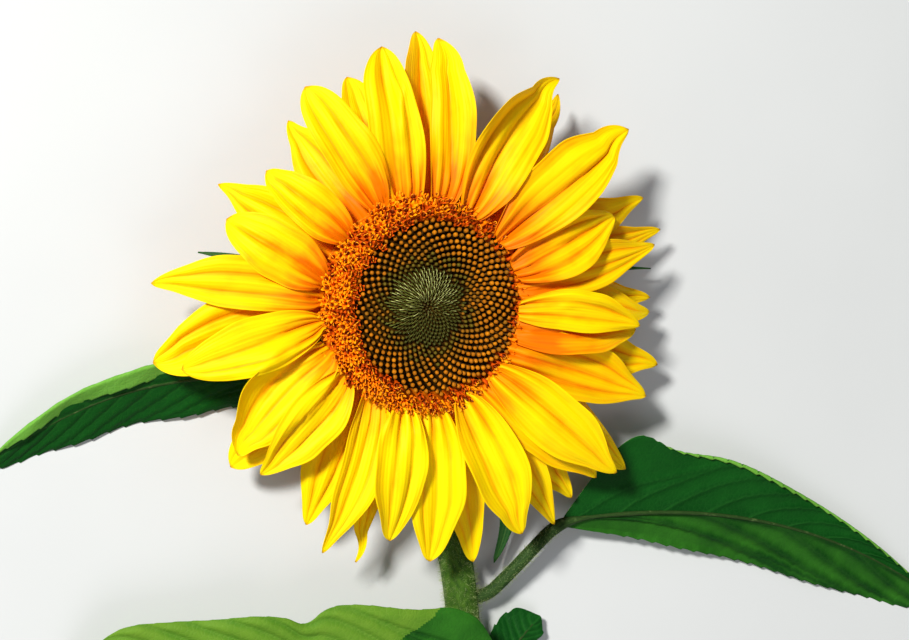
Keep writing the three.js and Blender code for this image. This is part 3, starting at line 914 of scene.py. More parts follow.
def make_ring(disc, lobes, anther, stigma):
    """The open florets: lobes, and on most of them a dark column of anthers and two curled arms."""
    bloom = disc.size * (0.92 + 0.14 * np.clip(disc.ripe / 6, 0, 1) + rng.normal(0, 0.07, disc.count))
    freshly_open = disc.ripe < rng.uniform(1.5, 5.5, disc.count)
    tint = np.where(freshly_open, 1, rng.choice([0, 0, 2, 2, 1], disc.count))
    corollas, anthers, stigmas = Build(), Build(), Build()
    scatter(corollas, corolla_shape(), disc.is_open, disc.origins, disc.frames, bloom, tint)
    corollas.make("ring_corollas", "floret_orange", lobes, "floret_ring")
    has_column = disc.is_open & (rng.random(disc.count) < 0.7)
    column = lathe_shape(ANTHER_PROFILE, 10, LOBES, 0.06)
    scatter(anthers, column, has_column, disc.origins, disc.frames, bloom)
    anthers.make("ring_anthers", "disc_brown", [anther])
    arm = arm_shape()
    for turn in (0.0, math.pi):
        has_arm = disc.is_open & (rng.random(disc.count) < 0.8)
        length = np.ones(disc.count)
        length[has_arm] = rng.uniform(0.8, 1.1, has_arm.sum())
        turned = spun(disc.frames, np.full(disc.count, turn))
        scatter(stigmas, arm, has_arm, disc.origins, turned, bloom * length)
    stigmas.make("ring_stigmas", "floret_orange", [stigma])


def make_scales(disc, finishes):
    """The young florets of the middle, and the scales that stand among all but the open ones.

    The finishes are pale, green, young, olive and dark: painted light makes more scales pale on the middle's
    sunny side, and painted shade makes more of them olive on its other side.
    """
    pale_finish, green_finish, young_finish, olive_finish, dark_finish = range(5)
    radius, young = disc.radius, disc.is_green
    beside = disc.origins + disc.upright[:, 0] * (0.42 * disc.pitch)[:, None]
    tall = (0.35 + 0.7 * smoothstep(1 * MM, 8 * MM, radius)) * disc.size
    tall = tall * (1 + rng.normal(0, 0.08, disc.count))
    # Painted light and shade: scales on the sunny side of the middle are more often pale, and those on its
    # other side more often olive.
    sunny = np.cos(disc.bearing - SUNNY_BEARING) * smoothstep(2 * MM, 9 * MM, radius)
    pale_and_lit = rng.random(disc.count) < 0.34 + 0.5 * sunny - 0.3 * smoothstep(13 * MM, 19 * MM, radius)
    dull_and_shaded = (rng.random(disc.count) < -0.9 * sunny + 0.1) | (radius < DULL_MIDDLE)
    tint = np.where(pale_and_lit & (radius > DULL_MIDDLE), pale_finish, np.where(dull_and_shaded, olive_finish, green_finish))
    # Painted shade: the hollow at the middle is dark.
    tint[radius < DARK_MIDDLE] = dark_finish
    seat_tint = np.where(tint == dark_finish, dark_finish, young_finish)
    foot_tint = np.where(tint >= olive_finish, tint, green_finish)
    foot, tip = scale_shape(7.0, 0.46, 1.15)
    scales = Build()
    seat = lathe_shape(YOUNG_PROFILE, 10, LOBES, 0.05)
    scatter(scales, seat, young, disc.origins, disc.upright, disc.size, seat_tint)
    scatter(scales, foot, young, beside, disc.upright, tall, foot_tint)
    scatter(scales, tip, young, beside, disc.upright, tall, tint)
    # The scales among the buds are painted dark: painted shade between the buds.
    for shape in scale_shape(4.7, 0.5, 0.3):
        scatter(scales, shape, disc.is_bud, beside, disc.upright, disc.growth, dark_finish)
    scales.make("disc_scales", "disc_brown", finishes)


# ---- stem, neck and stalks

STEM_SIDES = 48
STEM_ROWS = 150
STEM_HAIRS = 9000
STEM_HAIR = 2.5 * MM
STEM_SHRINK = 0.985
STEM_LOWEST = 0.03 * MM
CUT_RINGS = 10
CUT_DEPTH = 0.7 * MM
HAIR_HALF_THICK = 0.055 * MM
HAIR_MIDDLE_LOWEST = 0.1 * MM
HAIR_LOWEST = 0.01 * MM


def hairs(build, roots, directions, lengths, half=HAIR_HALF_THICK):
    """Fine three-sided hairs that bend a little, as one mesh."""
    count = len(roots)
    helper = np.where(np.abs(directions[:, 2:]) < 0.8, UP, ALONG_X)
    across = unit(np.cross(directions, helper))
    other = np.cross(directions, across)
    droop = rng.normal(0, 0.25, (count, 1)) * across + rng.normal(0, 0.25, (count, 1)) * other
    middle = roots + (directions + droop * 0.3) * lengths[:, None] * 0.5
    end = roots + unit(directions + droop) * lengths[:, None]
    for points in (middle, end):
        points[:, 2] = np.maximum(points[:, 2], HAIR_MIDDLE_LOWEST)
    angle = circle(3)[:, None]
    corners = (across[:, None] * np.cos(angle) + other[:, None] * np.sin(angle)) * half
    rows = [at[:, None] + corners * share for at, share in ((roots, 1), (middle, 0.7), (end, 0.15))]
    points = np.concatenate(rows, axis=1)
    points[..., 2] = np.maximum(points[..., 2], HAIR_LOWEST)
    first = np.arange(count)[:, None, None] * points.shape[1]
    build.add(points, (grid_faces(3, 3, wrap=True)[None] + first).reshape(-1, 4))


def cover_with_hair(build, line, radii, amount, length):
    """Hairs that stand off a limb, spread evenly along it."""
    forward, across, other = frames_along(line)
    place = rng.uniform(0, len(line) - 1.001, amount)
    k, part = place.astype(int), (place % 1)[:, None]
    angle = rng.uniform(0, FULL_TURN, amount)[:, None]
    outward = np.cos(angle) * across[k] + np.sin(angle) * other[k]
    roots = line[k] * (1 - part) + line[k + 1] * part + outward * (radii[k, None] * STEM_SHRINK)
    tilt = rng.normal(0.15, 0.35, (amount, 1))
    hairs(build, roots, unit(outward + forward[k] * tilt), length * rng.uniform(0.5, 1.3, amount))


def add_limb(build, line, radii, sides, ribs, depth, lowest):
    """A ribbed tube whose points know how far along and around it they are; gives the points."""
    along, angle = rings_round(len(line), sides)
    wobble = 0.5 * np.sin(ribs * angle + 5 * along) + 0.3 * np.sin((ribs * 2 - 3) * angle - 7 * along)
    points = tube(line, radii[:, None] * (1 + depth * wobble), sides)
    points[..., 2] = np.maximum(points[..., 2], lowest)
    build.add(points, grid_faces(len(line), sides, wrap=True), along=along, around=angle / FULL_TURN)
    return points


def smooth_line(points, radii, rows):
    """The same limb with many more points."""
    lengths = run_along(points)
    at = np.linspace(0, lengths[-1], rows)
    both = spline(lengths, np.concatenate([points, radii[:, None]], axis=1), at)
    return both[:, :3], both[:, 3]


def make_stem(skin, pith, hair_finish):
    """The stem from its cut and the neck after it, as one piece; gives its middle line."""
    cut = next(mount for mount in frame["record"]["mounts"] if mount["name"] == "cut_end")
    start = np.array(cut["pos_m"])
    stem, stem_radii = centre_line("stem", start, 12, 0.10, 0.94)
    neck, neck_radii = centre_line("neck", stem[-1], 7, 0.25, 0.92)
    line = np.concatenate([start[None], stem, neck])
    radii = np.concatenate([stem_radii[:1], stem_radii, neck_radii])
    line, radii = smooth_line(line, radii, STEM_ROWS)
    build, fuzz = Build(), Build()
    points = add_limb(build, line, radii * STEM_SHRINK, STEM_SIDES, 9, 0.03, STEM_LOWEST)
    ring, centre = points[0], points[0].mean(0)
    shrink = np.linspace(1, 0.02, CUT_RINGS)[:, None, None]
    sunk = unit(line[1] - line[0]) * (CUT_DEPTH * (1 - shrink) * np.abs(np.sin(shrink * 7)))
    cap = centre + (ring - centre)[None] * shrink + sunk
    is_pith = np.repeat((np.arange(CUT_RINGS - 1) > 0).astype(int), STEM_SIDES)
    build.add(cap, grid_faces(CUT_RINGS, STEM_SIDES, wrap=True)[:, ::-1], is_pith, along=0.0, around=0.0)
    build.make("stem_and_neck", "stem_green", [skin, pith], "stem", "neck")
    cover_with_hair(fuzz, line, radii, STEM_HAIRS, STEM_HAIR)
    fuzz.make("stem_hairs", "stem_green", [hair_finish])
    return line


# ---- leaves

LEAF_STATIONS = 9
LEAF_ROWS = 170
LEAF_HALF_COLUMNS = 32
LEAF_HALF_THICK = 0.16 * MM
FLOOR_GAP = 0.25 * MM
FLOOR_EASE = 0.5 * MM
TOOTH_PITCH = 8.5 * MM
TOOTH_DEPTH = 1.1 * MM
VEIN_HALF_WIDTH = 0.7 * MM
RIB_HALF_WIDTH = 0.6 * MM
# Each side vein: where on the midrib it starts, and how far along the leaf it has run at the edge.
BASAL_VEIN = (0.015, 0.42)
SIDE_VEINS = [(start, 0.30 - 0.12 * start) for start in np.linspace(0.12, 0.84, 8)]
# For each leaf: which way its veins stand (+1 up), and for each half how far its edge is turned back
# over the blade and how much the blade swells between its veins, in mm.
LEAVES = {
    "right_leaf": {"veins": 1, "turned": {"left": 0.04, "right": 0.0}, "quilt": {"left": 0.7, "right": 1.6}},
    "left_leaf": {"veins": -1, "turned": {"left": 0.0, "right": 0.66}, "quilt": {"left": 0.5, "right": 0.4}},
    "front_leaf": {"veins": -1, "turned": {"left": 0.0, "right": 0.0}, "quilt": {"left": 1.0, "right": 1.3}},
    "small_leaf": {"veins": -1, "turned": {"left": 0.0, "right": 0.0}, "quilt": {"left": 0.5, "right": 0.5}},
}
# The half whose few side veins run far forward and are broad, and the half with next to no teeth.
LONG_VEINED = ("right_leaf", "right")
LONG_VEIN_SWEEP = 1.7
LONG_VEIN_SPREAD = 2.6
SMOOTH_EDGED = ("front_leaf", "right")
SMOOTH_EDGE_TEETH = 0.25
# The front leaf is in its own shade near the stalk, from this share of its length and less far out.
SHADED_PART = (0.34, 0.18)
# Where the front leaf's upper edge dips: place along it, depth as a share of its half width, and spread.
FRONT_LEAF_DIPS = ((0.485, 0.20, 0.035), (0.52, 0.14, 0.08), (0.68, 0.12, 0.10), (0.10, 0.06, 0.04))
STALK_ROWS = 140
STALK_SIDES = 24
STALK_HAIRS = 5200
STALK_HAIR = 1.9 * MM
STALK_LOWEST = 0.05 * MM
RIB_POINTS = 14
RIB_RISE = 0.25 * MM
LEAST_RIB = 0.25 * MM


def vein_distance(t, reach, blade, is_long):
    """How far each point of half a leaf is from the nearest side vein, and how strong that vein is there."""
    nearest = np.full(t.shape, 1.0)
    strength = np.zeros(t.shape)
    side_veins, more = (SIDE_VEINS[::2], LONG_VEIN_SWEEP) if is_long else (SIDE_VEINS, 1.0)
    for start, sweep in [BASAL_VEIN, *side_veins]:
        gap = np.abs(t - start - sweep * more * reach ** 1.25) * blade.length * 0.75
        closer = gap < nearest
        nearest = np.where(closer, gap, nearest)
        strength = np.where(closer, 1.0 - 0.75 * reach, strength)
    return nearest, strength


def turn_back(run, wide, roll):
    """A leaf's cross-section, by how far it has run: out to its edge, over a roll, and back above the blade.

    Gives the sideways place, the height and the bend, from 0 to half a turn.
    """
    wide, roll = wide[:, None], roll[:, None]
    rolls = roll > 0
    bend = np.clip((run - wide) / np.maximum(roll, 1e-9), 0, math.pi) * rolls
    over = np.clip(run - wide - math.pi * roll, 0, None) * rolls
    flat = np.where(rolls, np.minimum(run, wide), run)
    return flat + roll * np.sin(bend) - over, roll * (1 - np.cos(bend)) - over * 0.10, bend


def leaf_edge(blade, leaf, name, sign, along, dice):
    """Half a leaf's outward direction, its width, its whole run over teeth and roll, and its roll."""
    edge = spline(blade.knots, blade.left_edge if sign > 0 else blade.right_edge, along)
    wide = np.linalg.norm(edge, axis=-1)
    if (leaf, name) == ("front_leaf", "right"):
        for at, depth, spread in FRONT_LEAF_DIPS:
            wide = wide * (1 - depth * hump(along - at, spread))
    saw = (along * blade.length / TOOTH_PITCH + dice.uniform(0, 1)) % 1
    tooth = (saw ** 1.5 - 0.4) * TOOTH_DEPTH * (SMOOTH_EDGE_TEETH if (leaf, name) == SMOOTH_EDGED else 1.0)
    tooth = tooth * smoothstep(0.06, 0.2, along) * fade(0.93, 1.0, along)
    back = LEAVES[leaf]["turned"][name] * smoothstep(0.12, 0.4, along)
    back = back * (1 - 0.7 * smoothstep(0.8, 1.0, along))
    roll = np.minimum(0.8 * MM, wide * 0.12) * (back > 0.001) * smoothstep(0.1, 0.35, along)
    return unit(edge)[:, None], wide, wide + math.pi * roll + back * wide + tooth, roll


def half_leaf(blade, leaf, name, sign, t, reach, dice):
    """Half a leaf's points from its midrib outwards, how much each is on a vein and how far between two."""
    style = LEAVES[leaf]
    outward, wide, length, roll = leaf_edge(blade, leaf, name, sign, t[:, 0], dice)
    lateral, raised, bend = turn_back(reach * length[:, None], wide, roll)
    is_long = (leaf, name) == LONG_VEINED
    gap, strength = vein_distance(t, reach, blade, is_long)
    spread = LONG_VEIN_SPREAD if is_long else 1.0
    vein = hump(gap, VEIN_HALF_WIDTH * spread) * strength / spread
    # The fold value paints light on the swellings between the veins.
    fold = (1 - hump(gap, 2.8 * MM * spread)) * smoothstep(0.0, 0.25, reach)
    quilt = (1 - hump(gap, 3.2 * MM * spread)) * style["quilt"][name] * MM
    quilt = quilt * smoothstep(0, 0.15, reach) * fade(0.85, 1.0, reach)
    quilt = quilt * smoothstep(0.0, 0.12, t) * fade(0.85, 1.0, t)
    relief = (vein * 0.35 * MM - quilt) * style["veins"] * fade(0.0, 1.0, bend / math.pi)
    wave = np.sin(t * dice.uniform(16, 24) + phase(dice)) * 1.3 * MM * reach ** 2
    wave = wave * smoothstep(0.05, 0.3, t) * fade(0.85, 1.0, t)
    lift = np.cross(blade.forward, outward) * sign
    grid = blade.centre(t) + outward * lateral[..., None] + lift * (raised + relief + wave)[..., None]
    above = grid[..., 2] - FLOOR_GAP
    grid[..., 2] = FLOOR_GAP + (above + np.sqrt(above ** 2 + FLOOR_EASE ** 2)) / 2
    return grid, np.maximum(vein, hump(reach * wide[:, None], RIB_HALF_WIDTH)), fold


def leaf_root(name):
    """Where a leaf's blade begins: the part of it that is nearest to its stalk."""
    blade = cad_corners(name + "_blade")[0]
    stalk = cad_corners(name + "_stalk")[0]
    gaps = np.linalg.norm(blade[:, None] - stalk[None], axis=-1).min(1)
    return blade[np.argsort(gaps)[:6]].mean(0)


def make_leaf(name, right_finish, left_finish, under):
    """Makes a leaf's blade, with a finish for each half's upper side and one for its underside."""
    dice = np.random.default_rng(name_seed(name))
    blade = Blade(name + "_blade", leaf_root(name), LEAF_STATIONS)
    rows = np.linspace(0, 1, LEAF_ROWS)
    t, reach = np.meshgrid(rows, np.linspace(0, 1, LEAF_HALF_COLUMNS), indexing="ij")
    left = half_leaf(blade, name, "left", 1, t, reach, dice)
    right = half_leaf(blade, name, "right", -1, t, reach, dice)
    grid, vein, fold = (np.concatenate([one[:, :0:-1], two], axis=1) for one, two in zip(right, left))
    across = np.concatenate([-reach[:, :0:-1], reach], axis=1)
    points, faces = shell(grid, LEAF_HALF_THICK * (1 - 0.5 * np.abs(across) ** 4))
    columns = grid.shape[1] - 1
    upper = np.tile(np.arange(columns) >= LEAF_HALF_COLUMNS - 1, LEAF_ROWS - 1).astype(int)
    # Painted shade: near the stalk, the front leaf's right half takes its left half's darker tone.
    if name == "front_leaf":
        upper[(t[:, :1] < SHADED_PART[0] - SHADED_PART[1] * np.abs(across))[:-1, :-1].ravel()] = 1
    face_finish = np.full(len(faces), 2)
    face_finish[:len(upper)] = upper
    build = Build()
    build.add(points, faces, face_finish, **both_sides(vein=vein, fold=fold))
    build.make(name + "_skin", "leaf_green", [right_finish, left_finish, under], name + "_blade")
    return blade


def make_stalk(name, blade, stem_line, finish, hair_finish):
    """A leaf's stalk out of the stem, going on as its midrib."""
    middle, radii = centre_line(name + "_stalk", blade.centre(np.array(0.0)), 9, 0.10, 0.86)
    nearest = np.argmin(np.linalg.norm(stem_line - middle[-1], axis=1))
    ribs = blade.centre(np.linspace(0.05, 0.97, RIB_POINTS)) + blade.up * (LEAVES[name]["veins"] * RIB_RISE)
    stalk = np.concatenate([stem_line[nearest][None], middle[::-1], ribs])
    shares = np.concatenate([[1.25], np.ones(len(middle)), np.linspace(0.36, 0.08, RIB_POINTS)])
    line, radii = smooth_line(stalk, np.median(radii) * shares, STALK_ROWS)
    radii = np.clip(radii, LEAST_RIB, None)
    build, fuzz = Build(), Build()
    add_limb(build, line, radii, STALK_SIDES, 5, 0.04, STALK_LOWEST)
    build.make(name + "_petiole", "stem_green", [finish], name + "_stalk")
    bare_from = np.linalg.norm(line - blade.centre(np.array(-0.01)), axis=1).argmin()
    amount = int(STALK_HAIRS * bare_from / STALK_ROWS)
    cover_with_hair(fuzz, line[:bare_from], radii[:bare_from], amount, STALK_HAIR)
    fuzz.make(name + "_hairs", "stem_green", [hair_finish])


# ---- bracts and bowl

BRACT_ROWS = 36
BRACT_COLUMNS = 13
BRACT_ROOT = 38 * MM
BRACT_HALF_WIDTH = 8.0 * MM
BRACT_LEAST_HALF = 0.32 * MM
BRACT_HALF_THICK = 0.22 * MM
BRACT_HAIRS = 90
BRACT_HAIR_HALF_THICK = 0.045 * MM
# A bract's own points lie this far out from the axis, this far apart in bearing from the next bract's,
# within this distance of its tip or its middle line, and in stations this far apart.
FAR_OUT = 72 * MM
BETWEEN_BRACTS = math.radians(9)
TIP_REACH = 1.5 * MM
MIDDLE_REACH = 9 * MM
STATIONS_FROM = 52 * MM
BETWEEN_STATIONS = 5 * MM
# Bracts that show past the rays: bearing in degrees, sideways bow in mm, and how full the blade is.
SHOWN_BRACTS = ((292.9, 16.0, 2.8), (167.2, -2.5, 1.4), (7.0, 2.0, 1.2))
USUAL_FULLNESS = 1.25
# Bracts that curl up short behind the rays: bearing in degrees and how much shorter, in mm.
TUCKED_BRACTS = ((160.5, 12.0), (118.8, 9.0), (132.8, 9.0), (63.4, 9.0))
SAME_BEARING = 3
BOWL_ROWS = 40
BOWL_SIDES = 144
BOWL_CORE = 5 * MM
BOWL_GAP = 0.3 * MM
SEAT_DEPTH = 10 * MM


def read_bracts(node):
    """The tip of each bract of a row and the points that it passes on the way there."""
    points = cad_corners(node)[0]
    out = points - AXIS
    reach = np.hypot(out[:, 0], out[:, 1])
    bearing = np.arctan2(out[:, 1], out[:, 0])
    far = np.flatnonzero(reach > FAR_OUT)
    order = far[np.argsort(bearing[far])]
    groups = np.split(order, np.flatnonzero(np.diff(bearing[order]) > BETWEEN_BRACTS) + 1)
    if bearing[groups[0][0]] + FULL_TURN - bearing[groups[-1][-1]] < BETWEEN_BRACTS:
        groups[0] = np.concatenate([groups.pop(), groups[0]])
    lines = []
    for group in groups:
        last = group[reach[group] > reach[group].max() - TIP_REACH]
        tip = points[last].mean(0)
        away = unit((tip - AXIS) * [1, 1, 0])
        side = np.cross(UP, away)
        near = (np.abs(out @ side) < MIDDLE_REACH) & (out @ away > STATIONS_FROM)
        near[last] = False
        found = points[near]
        run = (found - AXIS) @ away
        order = np.argsort(run)
        parts = np.split(order, np.flatnonzero(np.diff(run[order]) > BETWEEN_STATIONS) + 1)
        lines.append((tip, [found[part].mean(0) for part in parts]))
    return lines


def bract_line(tip, stations, away, side):
    """A bract's middle line, bowed to one side with its tip up, and how full its blade is."""
    bearing = math.degrees(math.atan2(away[1], away[0])) % 360
    for at, shorter in TUCKED_BRACTS:
        if abs(bearing - at) < SAME_BEARING:
            tip = tip - away * (shorter * MM)
    first = stations[0]
    inner = first - away * ((first - AXIS) @ away - BRACT_ROOT) + UP * 0.5 * MM
    route = np.array([inner, *stations, tip])
    lengths = run_along(route)
    t = np.linspace(0, 1, BRACT_ROWS)
    line = spline(lengths, route, t * lengths[-1])
    bow, fullness = rng.normal(0, 2.2), USUAL_FULLNESS
    for at, own_bow, own_fullness in SHOWN_BRACTS:
        if abs(bearing - at) < SAME_BEARING:
            bow, fullness = own_bow, own_fullness
    line = line + side * (bow * MM * np.sin(math.pi * np.clip((t - 0.45) / 0.55, 0, 1)))[:, None]
    line = line + UP * (rng.uniform(0.2, 1.6) * MM * smoothstep(0.8, 1.0, t) ** 2)[:, None]
    return line, fullness


def bract_grid(line, fullness, side):
    """Points of a bract round its middle line, and its edges' forward directions."""
    t = np.linspace(0, 1, BRACT_ROWS)
    v = np.linspace(-1, 1, BRACT_COLUMNS)
    to_tip = 1 - t[:, None]
    body = (1 - t ** (1.2 * fullness)) ** (1.5 / fullness)
    body = body * (0.82 + 0.18 * np.sin(math.pi * np.clip(t * 1.6, 0, 1)))
    taper = 1 - 0.45 / fullness ** 2 * smoothstep(0.45, 0.75, t)
    wide = BRACT_HALF_WIDTH * rng.uniform(0.9, 1.1) * body * taper + BRACT_LEAST_HALF
    height = wide[:, None] * (0.16 * v ** 2) + 0.25 * MM * hump(v, 0.12) * to_tip
    height = height + 0.2 * MM * np.sin(v * 9)[None] * to_tip
    height = height + 0.5 * MM * np.sin(9 * t + phase(rng))[:, None] * np.sign(v) * v ** 2 * to_tip
    forward = unit(np.gradient(line, axis=0))
    up = np.cross(forward, side)
    grid = line[:, None] + side * (wide[:, None] * v)[..., None] + up[:, None] * height[..., None]
    return grid, v, forward


def make_bracts(node, name, finish, hair_finish):
    """Makes one row of bracts, with hairs along their edges."""
    build, fuzz = Build(), Build()
    for tip, stations in read_bracts(node):
        away = unit((tip - AXIS) * [1, 1, 0])
        side = np.cross(UP, away)
        line, fullness = bract_line(tip, stations, away, side)
        grid, v, forward = bract_grid(line, fullness, side)
        points, faces = shell(grid, np.full(grid.shape[:2], BRACT_HALF_THICK) * (1 - 0.5 * v ** 4))
        vein = np.broadcast_to(hump(v, 0.07) + 0.5 * hump(np.abs(v) - 0.5, 0.05), grid.shape[:2])
        # The fold value paints light between the bract's veins.
        build.add(points, faces, **both_sides(vein=vein, fold=0.5 * (1 - vein)))
        rows = rng.integers(2, BRACT_ROWS - 6, BRACT_HAIRS)
        ends = rng.integers(0, 2, BRACT_HAIRS)
        roots = grid[rows, ends * (BRACT_COLUMNS - 1)]
        outward = side * (ends * 2 - 1)[:, None] + forward[rows] * 0.7 + rng.normal(0, 0.3, (BRACT_HAIRS, 3))
        lengths = rng.uniform(0.5, 1.3, BRACT_HAIRS) * MM
        hairs(fuzz, roots, unit(outward), lengths, BRACT_HAIR_HALF_THICK)
    build.make(name, "bract_green", [finish], node)
    fuzz.make(name + "_hairs", "bract_green", [hair_finish])


def make_bowl(finish, seat_finish):
    """The back of the head, turned through the corners of its CAD solid, with a seat for the rays."""
    points = cad_corners("receptacle")[0]
    pairs = np.stack([np.hypot(*(points - AXIS)[:, :2].T), points[:, 2]], axis=1)
    pairs = np.unique(np.round(pairs, 4), axis=0)
    outer = pairs[pairs[:, 0] > BOWL_CORE]
    outer = outer[np.argsort(outer[:, 1] * 3 + outer[:, 0] * 0.2)]
    lengths = run_along(outer)
    profile = spline(lengths, outer, np.linspace(0, lengths[-1], BOWL_ROWS))
    profile = np.concatenate([[[0.0, outer[0, 1]]], profile, [[RIM_RADIUS * 0.9, RIM_Z]]])
    profile[:, 1] = np.minimum(profile[:, 1], RIM_Z - BED_DROP - BOWL_GAP)
    along, angle = rings_round(len(profile), BOWL_SIDES)
    ribs = 1 + 0.006 * np.sin(26 * angle) * smoothstep(10 * MM, 30 * MM, profile[:, :1])
    grid = turned_grid(profile[:, :1] * ribs, profile[:, 1], angle)
    is_seat = np.repeat((profile[:-1, 1] > RIM_Z - SEAT_DEPTH).astype(int), BOWL_SIDES)
    faces = grid_faces(len(profile), BOWL_SIDES, wrap=True)[:, ::-1]
    build = Build()
    build.add(grid, faces, is_seat, along=along, around=angle / FULL_TURN)
    build.make("bowl", "bract_green", [finish, seat_finish], "receptacle")


# ---- floor, light and camera

SKY_COLOUR = (0.94, 0.97, 1.0, 1)
SKY_STRENGTH = 0.24
FLOOR_SIZE = 6
# Square lamps: where each stands from the bloom, its size in metres, its power in watts and its colour.
LAMPS = {
    "key": ((-1.50, 0.90, 1.80), 0.32, 113.0, (1.0, 0.97, 0.90)),
    "fill": ((0.3, -1.1, 1.4), 1.2, 8.0, (1.0, 0.99, 0.96)),
}
BLOOM_MIDDLE = Vector(AXIS) + Vector((0, 0, RIM_Z))
CAMERA_OFFSET = Vector((-324.7, 58.7, 939.8)) * MM
CAMERA_RIGHT = Vector((0.93969, 0.02386, 0.34119))
CAMERA_UP = Vector((0.0, 0.99756, -0.06976))
CAMERA_LENS = 85.0
CAMERA_SENSOR = 36.0
CAMERA_RANGE = (0.05, 20.0)


def make_stage():
    """A pale floor under the flower, and an even sky."""
    bpy.ops.mesh.primitive_plane_add(size=FLOOR_SIZE, location=(0, 0, 0))
    floor = bpy.context.object
    floor.name = "floor"
    floor.data.materials.append(floor_finish())
    world = bpy.data.worlds.new("studio")
    world.use_nodes = True
    sky = world.node_tree.nodes["Background"].inputs
    sky["Color"].default_value = SKY_COLOUR
    sky["Strength"].default_value = SKY_STRENGTH
    bpy.context.scene.world = world


def add_lamp(name, offset, size, power, colour):
    """A square lamp at an offset from the bloom, aimed at it."""
    lamp = bpy.data.lights.new(name, "AREA")
    lamp.size, lamp.energy, lamp.color = size, power, colour
    holder = bpy.data.objects.new(name, lamp)
    holder.location = BLOOM_MIDDLE + Vector(offset)
    holder.rotation_euler = (-Vector(offset)).to_track_quat("-Z", "Y").to_euler()
    bpy.context.scene.collection.objects.link(holder)


def make_camera():
    """Looks from above and a little to the left, so the bloom turns its face to the left."""
    lens = bpy.data.cameras.new("camera")
    lens.lens, lens.sensor_width = CAMERA_LENS, CAMERA_SENSOR
    lens.clip_start, lens.clip_end = CAMERA_RANGE
    camera = bpy.data.objects.new("camera", lens)
    turn = Matrix((CAMERA_RIGHT, CAMERA_UP, CAMERA_RIGHT.cross(CAMERA_UP))).transposed().to_4x4()
    camera.matrix_world = Matrix.Translation(BLOOM_MIDDLE + CAMERA_OFFSET) @ turn
    bpy.context.scene.collection.objects.link(camera)
    bpy.context.scene.camera = camera


# ---- the flower

# The bed is painted near black and the buds' feet dark: painted shade between the florets.
BED_TONES = ((0.016, 0.006, 0.001), (0.035, 0.016, 0.002))
RING_BED_TONES = ((0.36, 0.06, 0.001), (0.60, 0.14, 0.002))
BUD_TONES = {
    "bud_olive": ((0.065, 0.050, 0.004), (0.13, 0.090, 0.008)),
    "bud_tan": ((0.16, 0.060, 0.003), (0.28, 0.11, 0.005)),
    "bud_orange": ((0.26, 0.078, 0.002), (0.42, 0.14, 0.004)),
    "bud_bright": ((0.36, 0.11, 0.002), (0.54, 0.19, 0.005)),
}
BUD_FOOT_TONES = ((0.05, 0.020, 0.003), (0.11, 0.045, 0.006))
LOBE_TONES = {
    "lobe_orange": ((0.80, 0.15, 0.001), (0.90, 0.23, 0.001)),
    "lobe_deep": ((0.38, 0.036, 0.001), (0.60, 0.085, 0.001)),
    "lobe_light": ((0.88, 0.21, 0.001), (0.95, 0.36, 0.002)),
}
ANTHER_TONES = ((0.13, 0.018, 0.003), (0.26, 0.045, 0.004))
STIGMA_TONES = ((0.82, 0.24, 0.004), (0.92, 0.38, 0.008))
SCALE_TONES = {
    "scale_pale": ((0.32, 0.35, 0.10), (0.52, 0.55, 0.20)),
    "scale_green": ((0.075, 0.088, 0.012), (0.13, 0.145, 0.025)),
}
DARK_SCALE_TONES = {
    "young_floret": ((0.040, 0.040, 0.008), (0.08, 0.08, 0.016)),
    "scale_olive": ((0.040, 0.046, 0.006), (0.075, 0.085, 0.012)),
    "scale_dark": ((0.030, 0.022, 0.005), (0.07, 0.05, 0.010)),
}
STEM_TONES = ((0.022, 0.060, 0.007), (0.050, 0.115, 0.012))
STALK_TONES = ((0.014, 0.036, 0.008), (0.030, 0.066, 0.014))
PITH_TONES = ((0.45, 0.50, 0.30), (0.60, 0.63, 0.45))
HAIR_TONES = ((0.20, 0.28, 0.09), (0.38, 0.46, 0.20))
SEAT_TONES = ((0.50, 0.12, 0.002), (0.70, 0.24, 0.004))
BRACT_TONES = ((0.006, 0.045, 0.010), (0.020, 0.085, 0.016), (0.06, 0.13, 0.03))
# The dark and mid tones are partly painted shade, for halves of leaves that lie in shade.
LEAF_TONES = {
    "dark": ((0.001, 0.036, 0.003), (0.003, 0.060, 0.005), (0.010, 0.09, 0.010)),
    "mid": ((0.002, 0.036, 0.003), (0.022, 0.125, 0.009), (0.02, 0.09, 0.010)),
    "light": ((0.09, 0.26, 0.024), (0.13, 0.34, 0.044), (0.17, 0.40, 0.07)),
    "yellow": ((0.05, 0.15, 0.009), (0.11, 0.22, 0.018), (0.15, 0.26, 0.035)),
}
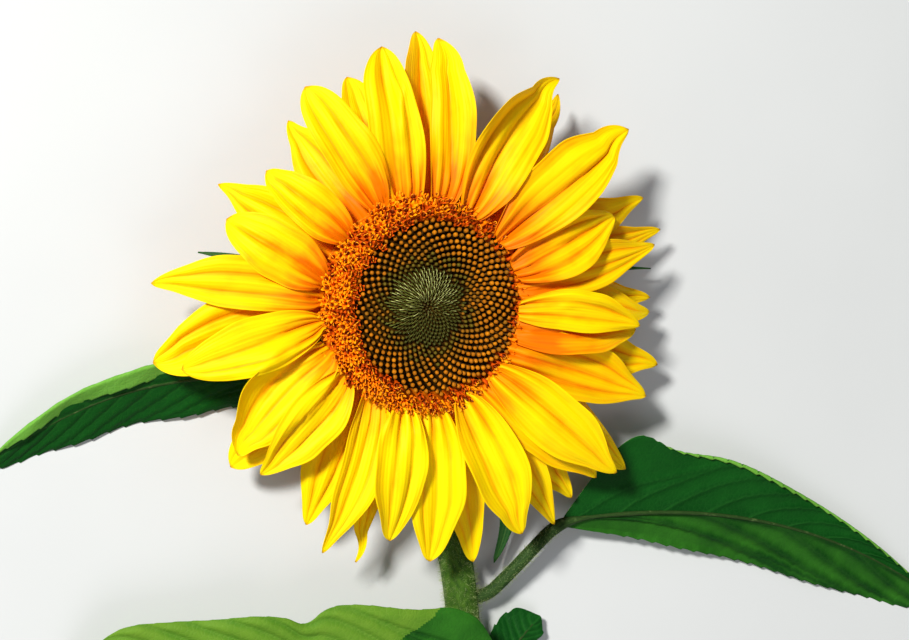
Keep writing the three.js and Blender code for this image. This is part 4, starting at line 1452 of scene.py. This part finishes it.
# The tone of each leaf's upper side, right half and left half: painted light and shade, brighter on a half
# that faces the light and darker on a half in shade.
LEAF_TOPS = {
    "right_leaf": ("mid", "dark"), "left_leaf": ("dark", "dark"),
    "front_leaf": ("yellow", "mid"), "small_leaf": ("dark", "dark"),
}

bpy.context.scene.view_settings.view_transform = "Standard"
make_camera()
make_stage()
for lamp_name, settings in LAMPS.items():
    add_lamp(lamp_name, *settings)

petal_material = petal_finish()
laid_petals = []
for whorl in WHORLS:
    for petal in petals_of(whorl):
        make_petal(petal, petal_material, laid_petals)

florets = grow_florets()
bed_finish = speckled_finish("disc_bed", BED_TONES, specular=0.0)
make_bed(bed_finish, speckled_finish("ring_bed", RING_BED_TONES, specular=0.0))
bud_finishes = speckled_finishes(BUD_TONES, 1400.0, 0.5, 0.07)
make_buds(florets, [*bud_finishes, speckled_finish("bud_foot", BUD_FOOT_TONES)])
lobe_finishes = speckled_finishes(LOBE_TONES, 900.0, 0.6, 0.05)
anther_finish = speckled_finish("anther", ANTHER_TONES, 900.0, 0.5)
make_ring(florets, lobe_finishes, anther_finish, speckled_finish("stigma", STIGMA_TONES, 900.0))
make_scales(florets, speckled_finishes(SCALE_TONES, 600.0) + speckled_finishes(DARK_SCALE_TONES, 900.0))

stem_skin = stem_finish("stem_skin", *STEM_TONES)
stalk_skin = stem_finish("stalk_skin", *STALK_TONES)
hair_skin = speckled_finish("hairs", HAIR_TONES, 300.0, 0.5)
stem_line = make_stem(stem_skin, speckled_finish("pith", PITH_TONES, 500.0, 0.8), hair_skin)
leaf_skins = {tone: leaf_finish("leaf_" + tone, *colours) for tone, colours in LEAF_TONES.items()}
for leaf_name, (right_tone, left_tone) in LEAF_TOPS.items():
    leaf_blade = make_leaf(leaf_name, leaf_skins[right_tone], leaf_skins[left_tone], leaf_skins["light"])
    make_stalk(leaf_name, leaf_blade, stem_line, stalk_skin, hair_skin)

bract_skin = leaf_finish("bract_skin", *BRACT_TONES)
make_bracts("bracts_outer", "outer_bracts", bract_skin, hair_skin)
make_bracts("bracts_inner", "inner_bracts", bract_skin, hair_skin)
make_bowl(stem_skin, speckled_finish("ray_seat", SEAT_TONES, 400.0))
